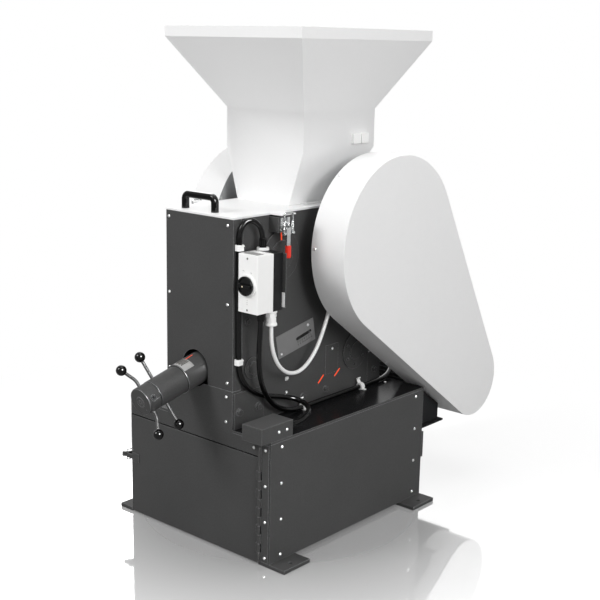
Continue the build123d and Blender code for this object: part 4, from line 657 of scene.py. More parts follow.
def adjuster_place(along, spin=0.0):
    """Matrix on the adjuster's axis, this far in front of the cover, Z pointing forwards."""
    way = Vector((0, -math.cos(ADJUST_TILT), -math.sin(ADJUST_TILT)))
    side = Vector((1, 0, 0))
    up = way.cross(side)
    turn = Matrix((side, up, way)).transposed().to_4x4()
    return Matrix.Translation(metres(*ADJUST) + way * along / 1000) @ turn @ Matrix.Rotation(spin, 4, "Z")


# ------------------------------------------------------------------ repeated parts
STAND = "stand parts on points"
HALF_TURN = 3.1416                     # the most that a part is spun about its own direction
SPIN_SEED = 7


def scatter_tree():
    """Geometry nodes that stand one part on every point, along the point's own direction."""
    if STAND in bpy.data.node_groups:
        return bpy.data.node_groups[STAND]
    tree = bpy.data.node_groups.new(STAND, "GeometryNodeTree")
    face = tree.interface
    face.new_socket("Geometry", in_out="INPUT", socket_type="NodeSocketGeometry")
    face.new_socket("Part", in_out="INPUT", socket_type="NodeSocketObject")
    face.new_socket("Size", in_out="INPUT", socket_type="NodeSocketFloat").default_value = 1.0
    face.new_socket("Spin", in_out="INPUT", socket_type="NodeSocketFloat").default_value = HALF_TURN
    face.new_socket("Seed", in_out="INPUT", socket_type="NodeSocketInt").default_value = SPIN_SEED
    face.new_socket("Finish", in_out="INPUT", socket_type="NodeSocketMaterial")
    face.new_socket("Geometry", in_out="OUTPUT", socket_type="NodeSocketGeometry")
    given = add_node(tree, "NodeGroupInput")
    way = add_node(tree, "GeometryNodeInputNamedAttribute", {0: "facing"}, data_type="FLOAT_VECTOR")
    stand = add_node(tree, "FunctionNodeAlignRotationToVector", links={"Vector": way.outputs[0]}, axis="Z")
    share = add_node(tree, "FunctionNodeRandomValue", {"Min": 0.0},
                     {"Max": given.outputs["Spin"], "Seed": given.outputs["Seed"]}, data_type="FLOAT")
    about = add_node(tree, "FunctionNodeAxisAngleToRotation", {"Axis": (0, 0, 1)},
                     {"Angle": [o for o in share.outputs if o.enabled][0]})
    turn = add_node(tree, "FunctionNodeRotateRotation", rotation_space="LOCAL",
                    links={"Rotation": stand.outputs[0], "Rotate By": about.outputs[0]})
    part = add_node(tree, "GeometryNodeObjectInfo", links={"Object": given.outputs["Part"]})
    placed = add_node(tree, "GeometryNodeInstanceOnPoints",
                      links={"Points": given.outputs["Geometry"], "Instance": part.outputs["Geometry"],
                             "Rotation": turn.outputs[0], "Scale": given.outputs["Size"]})
    real = add_node(tree, "GeometryNodeRealizeInstances", links={0: placed.outputs[0]})
    done = add_node(tree, "GeometryNodeSetMaterial",
                    links={"Geometry": real.outputs[0], "Material": given.outputs["Finish"]})
    add_node(tree, "NodeGroupOutput", links={0: done.outputs[0]})
    return tree


def ribbed(ribs, depth):
    """Shape of a grip rim with this many ribs."""
    return lambda number, radius, angle: radius - depth * (0.5 - 0.5 * math.cos(ribs * angle))


def hex_ring(number, radius, angle, from_ring):
    """Radius of a ring that is round up to from_ring and a hexagon after it."""
    if number < from_ring:
        return radius
    apart = (angle % (math.pi / 3)) - math.pi / 6
    return radius * math.cos(math.pi / 6) / math.cos(apart)


def hexagonal(number, radius, angle):
    """Shape of a nut."""
    return hex_ring(number, radius, angle, 0)


def collar(radius, low, high, edge=1.0, rise=1.0):
    """Profile of a collar between two heights; edge and rise say how much is taken off its edges."""
    return [(radius - edge, low), (radius, low + rise), (radius, high - rise), (radius - edge, high)]


def grip_nut(bm, place, radius, length):
    """Gland nut: plain collar, ribbed grip and plain lip."""
    turned(bm, [(radius - 0.6, 0), (radius, 0.6), (radius, 3.4), (radius - 0.8, 4)], place, 48)
    turned(bm, collar(radius, 4, length - 4, 0.8), place, 96, ribbed(16, 1.1))
    turned(bm, [(radius - 1.2, length - 4), (radius - 0.4, length - 3.4), (radius - 0.4, length - 0.8),
                (radius - 1.4, length)], place, 48)


def cap_screw(bm, place, radius, high):
    """Cap screw head with a hexagon socket."""
    profile = [(radius, -high), (radius, high * 0.3), (radius * 0.9, high * 0.42),
               (radius * 0.62, high * 0.42), (radius * 0.54, high * 0.36), (radius * 0.5, -high * 0.4)]
    turned(bm, profile, place, 36, lambda n, r, a: hex_ring(n, r, a, 4))


def stand_on_points(name, spots, part_mesh, size, body, surface, stands_for=(), spin=HALF_TURN):
    """One mesh of the part standing on every (place, direction), in millimetres."""
    points = bpy.data.meshes.new(name + "_points")
    points.from_pydata([metres(*place) for place, _ in spots], [], [])
    ways = points.attributes.new("facing", "FLOAT_VECTOR", "POINT")
    ways.data.foreach_set("vector", [c for _, way in spots for c in Vector(way).normalized()])
    holder = link(name + "_points", points)
    part = link(name + "_part", part_mesh)
    tree = scatter_tree()
    modifier = holder.modifiers.new("stand", "NODES")
    modifier.node_group = tree
    given = {"Part": part, "Size": size, "Spin": spin, "Seed": SPIN_SEED, "Finish": finish(surface)}
    for item in tree.interface.items_tree:
        if item.in_out == "INPUT" and item.name in given:
            modifier[item.identifier] = given[item.name]
    bpy.context.view_layer.update()
    mesh = baked(holder)
    mesh.name = name
    bpy.data.objects.remove(part)
    if not mesh.polygons:
        raise RuntimeError(f"{name}: no parts were stood on its points")
    return add_piece(name, mesh, body, surface, stands_for)


def button_head_mesh():
    """Button head of unit radius with a hexagon socket."""
    bm = bmesh.new()
    profile = [(1000, 0), (1000, 130), (965, 300), (860, 450), (700, 560), (500, 610), (470, 600),
               (440, 230)]
    turned(bm, profile, Matrix.Identity(4), 24, lambda n, r, a: hex_ring(n, r, a, 5))
    return to_mesh(bm, "button head", 50.0, weigh=False)


def curve_tube(name, route, radius, surface, stands_for):
    """Round tube of even thickness whose centreline is a smooth spline on the route's points."""
    curve = bpy.data.curves.new(name, "CURVE")
    curve.dimensions = "3D"
    spline = curve.splines.new("NURBS")
    spline.points.add(len(route) - 1)
    for point, place in zip(spline.points, route):
        point.co = (*metres(*place), 1.0)
    spline.order_u = 3
    spline.use_endpoint_u = True
    spline.resolution_u = 8
    curve.bevel_depth = radius
    curve.bevel_resolution = 5
    curve.use_fill_caps = True
    mesh = baked(link(name + "_line", curve))
    bm = bmesh.new()
    bm.from_mesh(mesh)
    bmesh.ops.remove_doubles(bm, verts=bm.verts, dist=WELD / 2)
    bmesh.ops.recalc_face_normals(bm, faces=bm.faces)
    bm.to_mesh(mesh)
    bm.free()
    return add_piece(name, smooth(mesh, 60.0), "machine", surface, stands_for)


# ------------------------------------------------------------------ operators
class CRUSHER_OT_cabinet(bpy.types.Operator):
    """Foot plates, cabinet panels, top plate and the inner frame"""
    bl_idname = "crusher.cabinet"
    bl_label = "Cabinet"

    def execute(self, context):
        dress("foot_plates", 1.2)
        dress("cabinet_panels", 0.8)
        # painted shade: the top plate's flat faces get the darker coat, its standing faces the usual one
        top = dress("cabinet_top_plate", 0.4, surface="shaded_gloss_powder_coat")
        top.data.materials.append(finish("dark_powder_coat"))
        for face in top.data.polygons:
            standing = abs(face.normal.z) < 0.5
            face.material_index = int(standing)
        coat("cabinet_inner_frame")
        # painted shade: the motor shelf is coated near-black where it lies in shadow
        dress("motor_shelf", 0.8, surface="chassis_paint")
        dress("interlock_block", 1.2)
        return {"FINISHED"}


class CRUSHER_OT_door(bpy.types.Operator):
    """Folded door with its piano hinge, latch and the collecting drawer behind it"""
    bl_idname = "crusher.door"
    bl_label = "Door and drawer"

    def execute(self, context):
        dress("door_panel", 1.2)
        dress("door_hinge_frame_side", 0.3)
        dress("latch_keeper", 0.8)
        dress("latch_base", 0.6)
        dress("draw_latch", 0.4)
        dress("drawer", 0.6)
        self.seal()
        return {"FINISHED"}

    def seal(self):
        """Black rubber seal along the top of the door, behind the gap under the strip; its black also
        darkens the gap as painted shade.
        """
        bm = bmesh.new()
        box(bm, SEAL_ENDS, (FRONT + 2.5, FRONT + 21), (DOOR_TOP - 0.3, DOOR_TOP + 1.2))
        round_edges(bm, 0.0005)
        # painted shade: the black strip darkens the gap above the door
        made_piece(bm, "door_seal", BODY["door_panel"], "belt_rubber")


class CRUSHER_OT_frame(bpy.types.Operator):
    """Side plates, cross members, bearing housings, round covers and sheet covers of the tower"""
    bl_idname = "crusher.frame"
    bl_label = "Tower"

    def execute(self, context):
        dress("frame_side_plates", 1.0)
        dress("frame_cross_members", 1.0)
        dress("housings_and_covers", 0.8)
        dress("tower_covers", 0.7)
        coat("cheek_plates")
        dress("frame_shafts_and_bearings", 0.5)
        self.filled_joint()
        return {"FINISHED"}

    def filled_joint(self):
        """Filled and painted joint between the tower's front cover and the strip above the door."""
        bm = bmesh.new()
        box(bm, (mirrored(COVER_SIDE, -1), COVER_SIDE), (FRONT - 0.12, FRONT + 1),
            (BASE_TOP - 9, BASE_TOP + 3))
        made_piece(bm, "front_filled_joint", "machine", "filled_joint")


class CRUSHER_OT_jaws(bpy.types.Operator):
    """Both jaws with their crushing plates, and the toggle plate"""
    bl_idname = "crusher.jaws"
    bl_label = "Jaws"

    def execute(self, context):
        for node in ("front_jaw_arm", "rear_jaw_arm", "front_jaw_plate", "rear_jaw_plate", "toggle_plate"):
            dress(node, 0.6)
        return {"FINISHED"}


class CRUSHER_OT_adjuster(bpy.types.Operator):
    """Gap adjuster: barrel, lock sleeve, hub, arms, ball knobs and spindle"""
    bl_idname = "crusher.adjuster"
    bl_label = "Gap adjuster"

    def execute(self, context):
        dress("barrel_housing", 1.3, 3)
        dress("lock_sleeve", 1.3, 3)
        dress("adjuster_hub", 1.3, 3)
        for node in ("lock_lever_arms", "adjuster_lever_arms", "spindle"):
            dress(node, 0.0, surface="satin_steel")
        for node in ("lock_lever_balls", "adjuster_lever_balls"):
            dress(node, 0.0)
        self.hub_details()
        self.worn_rims()
        return {"FINISHED"}

    def hub_details(self):
        """Clamping screw in the hub's side with the bright rims round it, and the turned end face."""
        place = adjuster_place(HUB_SCREW_AT)
        x, y = 0.94, 0.34
        seat = facing(place @ metres(x * (HUB_R - 5), y * (HUB_R - 5), 0) * 1000,
                      place.to_3x3() @ Vector((x, y, 0.0)))
        bm = bmesh.new()
        cap_screw(bm, seat @ Matrix.Translation(metres(0, 0, 2.6)), 6.4, 4.4)
        made_piece(bm, "hub_clamping_screw", "gap_adjuster", "black_oxide_steel", 40.0)
        bm = bmesh.new()
        for radius in (10.1, 6.4):
            ring = [(radius - 1.2, 3.4), (radius - 1.0, 5.3), (radius, 5.3), (radius + 0.5, 3.4)]
            turned(bm, ring, seat, 48, closed=False)
        bmesh.ops.recalc_face_normals(bm, faces=bm.faces)
        made_piece(bm, "hub_screw_rims", "gap_adjuster", "worn_edge", 60.0)
        bm = bmesh.new()
        end = adjuster_place(HUB_FACE)
        profile = [(14.6, -0.6), (14.6, 0.5), (14.1, 0.9), (6.4, 0.9), (6.0, 0.5), (5.4, 0.5), (5.0, 0.9)]
        turned(bm, profile, end, 64)
        turned(bm, [(1.9, -0.4), (1.9, 0.5), (1.5, 0.8)], end @ Matrix.Translation(metres(20, -22, 0)), 20)
        made_piece(bm, "hub_end_cap", "gap_adjuster", SLOT["adjuster_hub"], 40.0)

    def worn_rims(self):
        """Bright turned rims of barrel, sleeve and hub, where handling has worn the coat through."""
        steps = [(-1.3, -0.6), (-1.3, 0.06), (-0.5, 0.06), (0.08, -0.5), (0.08, -1.3), (-0.6, -1.6)]
        for name, body, radius, at, way in (
                ("hub_front_rim", "gap_adjuster", HUB_R - 0.9, HUB_FACE, 1),
                ("hub_back_rim", "gap_adjuster", HUB_R, SLEEVE_END + 2, -1),
                ("sleeve_front_rim", BODY["lock_sleeve"], SLEEVE_R, SLEEVE_END, 1),
                ("barrel_front_rim", "machine", BARREL_R, BARREL_END, 1)):
            bm = bmesh.new()
            turned(bm, [(radius + out, way * along) for out, along in steps], adjuster_place(at), 96,
                   closed=False)
            bmesh.ops.recalc_face_normals(bm, faces=bm.faces)
            made_piece(bm, name, body, "worn_edge", 50.0)


class CRUSHER_OT_drive(bpy.types.Operator):
    """Shaft, flywheels, belts, motor and its pulley"""
    bl_idname = "crusher.drive"
    bl_label = "Drive"

    def execute(self, context):
        for node in ("flywheel_left", "flywheel_pulley", "eccentric_shaft", "motor", "motor_pulley"):
            dress(node, 0.8)
        dress("drive_belts", 0.5)
        self.motor_fins()
        return {"FINISHED"}

    def motor_fins(self):
        """Cooling fins along the motor's body, with a gap for its feet and its terminal box."""
        bm = bmesh.new()
        box(bm, (-124, 124), (-1.4, 1.4), (-2, 6))
        round_edges(bm, 0.0006, 1)
        spots = []
        for degrees in range(0, 360, 9):
            if not (45 < degrees < 135 or 225 < degrees < 315):
                spots.append(round_spot(MOTOR_MIDDLE, MOTOR, MOTOR_R, degrees))
        stand_on_points("motor_fins", spots, to_mesh(bm, "fin"), 1.0, "machine", SLOT["motor"], spin=0.0)


class CRUSHER_OT_guards(bpy.types.Operator):
    """Belt guard, flywheel guard and their back plates"""
    bl_idname = "crusher.guards"
    bl_label = "Guards"

    def execute(self, context):
        dress("belt_guard")
        dress("flywheel_guard")
        dress("guard_back_plates", 0.5, surface="zinc_plated_sheet")
        return {"FINISHED"}


class CRUSHER_OT_hopper(bpy.types.Operator):
    """Lid plate with its hinge and handle, feed hopper and its safety switch"""
    bl_idname = "crusher.hopper"
    bl_label = "Lid and hopper"

    def execute(self, context):
        dress("lid_plate")
        dress("lid_hinge", 0.5)
        dress("hopper", 0.8)
        dress("hopper_switch", 0.8)
        dress("bridge_handle", 0.0)
        return {"FINISHED"}


class CRUSHER_OT_clamps(bpy.types.Operator):
    """Toggle clamps that hold the lid down"""
    bl_idname = "crusher.clamps"
    bl_label = "Lid clamps"

    def execute(self, context):
        dress("clamp_bases", 0.4)
        for node in ("clamp_lever_right", "clamp_lever_left", "clamp_grip_right", "clamp_bail_right",
                     "clamp_bail_left"):
            dress(node, 0.3)
        for side, name in ((1, "right"), (-1, "left")):
            self.details(side, name)
        return {"FINISHED"}

    def details(self, side, name):
        """Nuts and threads of the U-bolt, and the rivets of the base."""
        x, y, z = CLAMP_PIVOT
        bm = bmesh.new()
        thread = []
        for turn in range(14):
            thread += [(3.05, 4.5 + turn * 1.5), (3.5, 5.2 + turn * 1.5)]
        for leg in (-CLAMP_LEG, CLAMP_LEG):
            place = Matrix.Translation(metres(mirrored(x + 3, side), y + leg, z - 4))
            for low in (0.0, 12.0):
                turned(bm, collar(5.4, low, low + 4.4, 0.8, 0.6), place, 36, hexagonal)
            turned(bm, thread + [(3.05, 26)], place, 20)
        made_piece(bm, f"clamp_nuts_{name}", BODY[f"clamp_bail_{name}"], "zinc_plated_steel", 35.0)
        bm = bmesh.new()
        for across, up in ((-16.5, -4), (-16.5, 12), (-16.5, 27), (16.5, 12)):
            place = facing((mirrored(CLAMP_BASE_FACE, side), y + across, z + up), (side, 0, 0))
            turned(bm, [(3.6, -0.5), (3.6, 0.6), (2.9, 1.8), (1.6, 2.5), (0.4, 2.7)], place, 24)
        for ear in (-1, 1):
            place = facing((mirrored(x, side), y + ear * 13, z), (0, ear, 0))
            turned(bm, [(4.2, -0.5), (4.2, 0.8), (3.2, 2.0), (1.2, 2.6)], place, 24)
        made_piece(bm, f"clamp_rivets_{name}", "machine", "zinc_plated_steel", 35.0)


class CRUSHER_OT_starter(bpy.types.Operator):
    """Motor starter with its rotary switch"""
    bl_idname = "crusher.starter"
    bl_label = "Motor starter"

    def execute(self, context):
        dress("starter_base", 1.2)
        dress("starter_cover", 1.5, 3)
        self.knob()
        self.cover_details()
        return {"FINISHED"}

    def knob(self):
        """Dished switch knob with a level grip bar and a pale pointer mark."""
        bm = bmesh.new()
        profile = [(5.9, -16), (5.9, 0), (28.6, 0), (29, 0.6), (29, 5.4), (28.4, 6.5), (27.2, 7), (25.6, 7),
                   (24.2, 6.4), (22.6, 3.4), (21, 2.8), (1, 2.8)]
        turned(bm, profile, facing(KNOB, (0, -1, 0)), 72)
        x, y, z = KNOB
        bar = bmesh.new()
        box(bar, (x - 24.5, x + 24.5), (y - 13, y - 2), (z - 4.8, z + 4.8))
        round_edges(bar, 0.0016, 3)
        mesh = bpy.data.meshes.new("bar")
        bar.to_mesh(mesh)
        bar.free()
        bm.from_mesh(mesh)
        add_piece("starter_knob_finished", to_mesh(bm, "knob"), BODY["starter_knob"], "knob_plastic",
                  ["starter_knob"])
        bm = bmesh.new()
        turned(bm, [(2.4, -0.3), (2.4, 0.15), (2.1, 0.3)], facing((x - 3, y - 13, z), (0, -1, 0)), 24)
        made_piece(bm, "starter_pointer_mark", BODY["starter_knob"], "pale_mark")

    def cover_details(self):
        """Cover screws, the silver field on top, position marks, and the label lug behind the housing."""
        x, _, middle_z = KNOB
        bm = bmesh.new()
        for z in (STARTER_TOP - 12, STARTER_LOW + 9):
            turned(bm, [(3.2, -0.6), (3.2, 0.2), (2.7, 0.6), (0.8, 0.6)],
                   facing((x, STARTER_FACE, z), (0, -1, 0)), 24)
            box(bm, (x - 2.6, x + 2.6), (STARTER_FACE - 0.75, STARTER_FACE - 0.5), (z - 0.5, z + 0.5))
        made_piece(bm, "starter_cover_screws", "machine", "bare_steel")
        bm = bmesh.new()
        box(bm, (177, 239), (-377, -345), (STARTER_TOP - 0.2, STARTER_TOP + 0.15))
        made_piece(bm, "starter_top_field", "machine", "printed_foil")
        bm = bmesh.new()
        for across, up in ((-17, 43), (-13, 42), (13, 40), (17, 39), (0, -44), (0, -50), (0, -56)):
            place = facing((x + across, STARTER_FACE, middle_z + up), (0, -1, 0))
            turned(bm, [(0.95, -0.1), (0.95, 0.08)], place, 12)
        made_piece(bm, "starter_position_marks", "machine", "grey_print")
        bm = bmesh.new()
        box(bm, (STARTER_RIGHT - 4, STARTER_RIGHT + 9), (-279.5, -276.5), (781, 825))
        round_edges(bm, 0.0006)
        made_piece(bm, "starter_label_lug", "machine", "white_plastic")


class CRUSHER_OT_cables(bpy.types.Operator):
    """Conduits, the white cable, their glands, saddles and clips"""
    bl_idname = "crusher.cables"
    bl_label = "Conduits and cable"

    def execute(self, context):
        sizes = context.scene.crusher_sizes
        for name, route in (("conduit_to_interlock", CONDUIT_TO_BLOCK),
                            ("conduit_to_motor", CONDUIT_TO_MOTOR)):
            curve_tube(name, route, sizes.conduit, "conduit_plastic", ["conduits"])
        curve_tube("white_switch_cable", WHITE_CABLE, sizes.cable, "white_plastic",
                   ["white_cable"])
        dress("clips_and_glands", 0.6)
        self.connectors()
        self.clips()
        return {"FINISHED"}

    def connectors(self):
        """Ribbed nuts that hold the conduits' ends, and the rims of the white glands."""
        bm = bmesh.new()
        grip_nut(bm, Matrix.Translation(metres(*TOP_GLAND, STARTER_TOP + 6)), 11.2, 30)
        grip_nut(bm, facing((*LOW_GLAND, STARTER_LOW + 1), (0, 0, -1)), 11.2, 30)
        grip_nut(bm, facing(BLOCK_GLAND, (0, 1, 0)), 11.2, 24)
        made_piece(bm, "conduit_nuts", "machine", "conduit_plastic", 30.0)
        bm = bmesh.new()
        low = Matrix.Translation(metres(*WHITE_GLAND, 0))
        turned(bm, collar(16.2, 752, 764), low, 36, hexagonal)
        turned(bm, collar(17.2, 767, 772, 0.6, 0.6), low, 48)
        turned(bm, collar(14.4, 737, 751, 1.2), low, 96, ribbed(18, 0.9))
        turned(bm, collar(17.6, 727, 734, 1.2), low, 48)
        top = Matrix.Translation(metres(*TOP_GLAND, 0))
        turned(bm, [(18.4, 946.2), (19.4, 947), (19.4, 949), (17.4, 950.2)], top, 48)
        turned(bm, [(17.6, 950.4), (18.6, 951.2), (18.6, 953), (17.4, 954.2)], top, 48)
        made_piece(bm, "white_gland_rims", "machine", "white_plastic", 30.0)

    def clips(self):
        """Wide bands of the clips on the base, and the tails of clips and saddles."""
        bm = bmesh.new()
        for x, y, z in ((175.0, -86.0, 409.0), (169.5, 216.0, 409.0)):
            turned(bm, collar(13.4, -8, 8, 1.0, 0.8), facing((x, y, z + 0.5), (0, 1, 0)), 40)
            tail = Matrix.Translation(metres(x - 5, y, z + 11)) @ Matrix.Rotation(math.radians(-32), 4, "Y")
            box(bm, (-2.0, 2.0), (-7, 7), (-4, 17), tail)
            box(bm, (-2.0, 9.0), (-7, 7), (13.5, 17.5), tail)
        box(bm, (PLATE_SIDE - 0.5, PLATE_SIDE + 2.6), (-149, -137), (504, 516))
        box(bm, (PLATE_SIDE + 2.0, PLATE_SIDE + 6.5), (-146, -139), (509, 516))
        for z in (958.0, 612.0):
            box(bm, (168.5, 174.5), (-381, -361), (z + 3.5, z + 7))
        round_edges(bm, 0.0006)
        made_piece(bm, "clip_bands", "machine", "white_plastic", 35.0)


class CRUSHER_OT_screws(bpy.types.Operator):
    """Button-head screws on covers, panels, guards and blocks"""
    bl_idname = "crusher.screws"
    bl_label = "Screws"

    def execute(self, context):
        size = context.scene.crusher_sizes.screw_head
        head = button_head_mesh()
        stand_on_points("button_head_screws", screw_spots(), head, size, "machine", "polished_screw",
                        ["button_screws"])
        flange = [((109, y, FLANGE_TOP), (0, 0, 1)) for y in (-12, 34, 120)]
        stand_on_points("hopper_flange_screws", flange, head, size, BODY["hopper_screws"], "polished_screw",
                        ["hopper_screws"])
        return {"FINISHED"}


class CRUSHER_OT_markings(bpy.types.Operator):
    """Scale plate, rating plate and the witness strokes of lacquer"""
    bl_idname = "crusher.markings"
    bl_label = "Plates and marks"

    def execute(self, context):
        plates = "scale_and_rating_plates"
        on_side = PLATE_SIDE - 50
        dress(plates, 0.2, surface="aluminium_plate", keep=lambda spot: spot.x > on_side,
              name="gap_scale_plate")
        dress(plates, 0.0, surface="printed_foil", keep=lambda spot: spot.x < on_side, name="rating_plate")
        self.scale_print()
        self.rating_print()
        self.witness_strokes()
        self.blank_cover()
        return {"FINISHED"}

    def scale_print(self):
        """Ticks and plain numbers below the slot of the gap scale."""
        low, high = (Vector((PLATE_SIDE + 2, *end)) for end in SLOT_ENDS)
        along = (high - low).normalized()
        up = Vector((1, 0, 0)).cross(along)
        turn = Matrix((along, up, Vector((1, 0, 0)))).transposed().to_4x4()
        bm = bmesh.new()
        steps = 12
        for step in range(steps + 1):
            numbered = step % 2 == 0
            wide, reach = (0.8, 7.0) if numbered else (0.45, 4.5)
            place = Matrix.Translation((low + along * (high - low).length * step / steps) / 1000) @ turn
            box(bm, (-wide, wide), (-8.0 - reach, -8.0), (-0.02, 0.08), place)
            if numbered:
                printed(bm, str(step // 2 * 5), 8.4, place @ Matrix.Translation(metres(0, -20.5, 0.05)))
        made_piece(bm, "gap_scale_print", "machine", "black_print", weigh=False)

    def rating_print(self):
        """Plain rules where a rating plate has its lines of data."""
        bm = bmesh.new()
        for number, share in enumerate((0.92, 0.84, 0.94, 0.9, 0.86, 0.95, 0.8)):
            start = RATING[0] + 3
            end = start + (RATING[1] - RATING[0] - 6) * share
            angle = 70 + 5 * number
            barrel_band(bm, (start, end), (angle, angle + 3.4), BARREL_R + 0.8)
        made_piece(bm, "rating_plate_print", "machine", "grey_print", weigh=False)

    def witness_strokes(self):
        """Strokes of lacquer across joints: on the side plate, and along the barrel."""
        bm = bmesh.new()
        for side, start, end, width in ((COVER_FACE, (-184, 981), (-183, 960), 5.0),
                                        (PLATE_SIDE, (39, 482), (15, 461), 4.5),
                                        (PLATE_SIDE, (122, 487), (98, 468), 4.5)):
            stroke(bm, (side, *start), (side, *end), width, (1, 0, 0))
        start, end = on_barrel(-2, 93, BARREL_R), on_barrel(26, 91, BARREL_R)
        lean = (start - Vector(ADJUST)).x * 0.1
        stroke(bm, start, end, 3.4, Vector((lean, 0.0, 1.0)), 0.5)
        made_piece(bm, "witness_strokes", "machine", "witness_lacquer", weigh=False)

    def blank_cover(self):
        """Thin blank cover on the side plate, held by one of the button heads."""
        bm = bmesh.new()
        box(bm, (PLATE_SIDE - 0.5, PLATE_SIDE + 0.9), (48, 112), (482, 580))
        round_edges(bm, 0.0004)
        made_piece(bm, "side_blank_cover", "machine", SLOT["frame_side_plates"])


# Centrelines of the conduits and of the white cable
CONDUIT_TO_BLOCK = [
    (186, -297, 966), (186, -297, 1006), (179, -326, 1036), (168, -352, 1036), (161.8, -371, 1006),
    (161.8, -371, 962), (161.8, -373, 880), (161.8, -373, 780), (161.8, -372, 690),
    (161.9, -370.5, 588), (165, -350, 540), (168, -314, 508), (168, -264, 484), (167, -210, 470),
    (168, -160, 457), (194, -128, 446), (232, -131, 438), (266, -164, 431), (287, -214, 427),
    (291, -252, 425), (291, -291, 425)]
CONDUIT_TO_MOTOR = [
    (222, -340, 749), (220, -340, 704), (214, -338, 652), (207, -330, 602), (200, -315, 554),
    (193, -292, 511), (187, -262, 474), (182, -222, 442), (179, -174, 420), (176, -120, 409),
    (174, -58, 409), (172, 8, 409.5), (171, 72, 409), (170, 134, 409.5), (169, 194, 409),
    (169, 246, 409), (169, 300, 409.5), (166, 352, 411), (152, 402, 419), (128, 448, 437),
    (100, 490, 463), (74, 528, 489), (52, 562, 507), (38, 588, 513)]
WHITE_CABLE = [
    (234, -308, 748), (234, -308, 708), (231, -302, 668), (227, -286, 628), (221, -258, 589),
    (215, -221, 561), (210, -182, 547), (207, -142, 546), (206, -103, 564), (205, -66, 598),
    (205, -40, 640), (206, -21, 684), (208, -9, 716), (208, -9, 742)]


def guard_tangent():
    """Heading from shaft to motor, and how far the guard's straight sides lean from it, in radians."""
    run = (MOTOR[0] - SHAFT[0], MOTOR[1] - SHAFT[1])
    return math.atan2(run[1], run[0]), math.acos((GUARD_R - GUARD_SMALL_R) / math.hypot(*run))


def screw_spots():
    """Place and direction of every button-head screw."""
    left, right, front, up = (-1, 0, 0), (1, 0, 0), (0, -1, 0), (0, 0, 1)
    spots = [((x, FRONT, z), front) for x in (-122, 130) for z in (1021, 785, 543)]
    spots += [((x, FRONT, z), front) for x, z in ((-122, 499), (127, 499), (127, 421))]
    spots += [((x, FRONT, 369), front) for x in (-244, 244)]
    spots += [((side * BASE_SIDE, y, z), way) for side, way in ((1, right), (-1, left))
              for y in (-339, 341) for z in (32, 146, 261, 376)]
    spots += [((BASE_SIDE, y, 425), right) for y in (-353, -318)]
    spots += [((293, FRONT - 2, z), front) for z in (29, 145, 259, 372)]
    spots += [((PLATE_SIDE, y, z), right) for y, z in ((-143, 508), (-142, 465), (81, 565))]
    spots += [((PLATE_SIDE + 2, y, z), right) for y, z in ((-47, 668), (-170, 595))]
    spots += [((183, 337, BASE_TOP), up)]
    heading, lean = guard_tangent()
    for x, angles in ((GUARD_RIM, (79, 128, 178)), (FLYWHEEL_RIM, (79, 128, 178, 228, 300))):
        spots += [round_spot(x, SHAFT, GUARD_R, angle) for angle in angles]
    for turn in (lean, -lean):
        way = Vector((0, math.cos(heading + turn), math.sin(heading + turn)))
        start = Vector((0, *SHAFT)) + way * GUARD_R
        end = Vector((0, *MOTOR)) + way * GUARD_SMALL_R
        for share in (0.06, 0.47, 0.97):
            spot = start + (end - start) * share
            spots.append(((GUARD_RIM, spot.y, spot.z), way))
    return spots


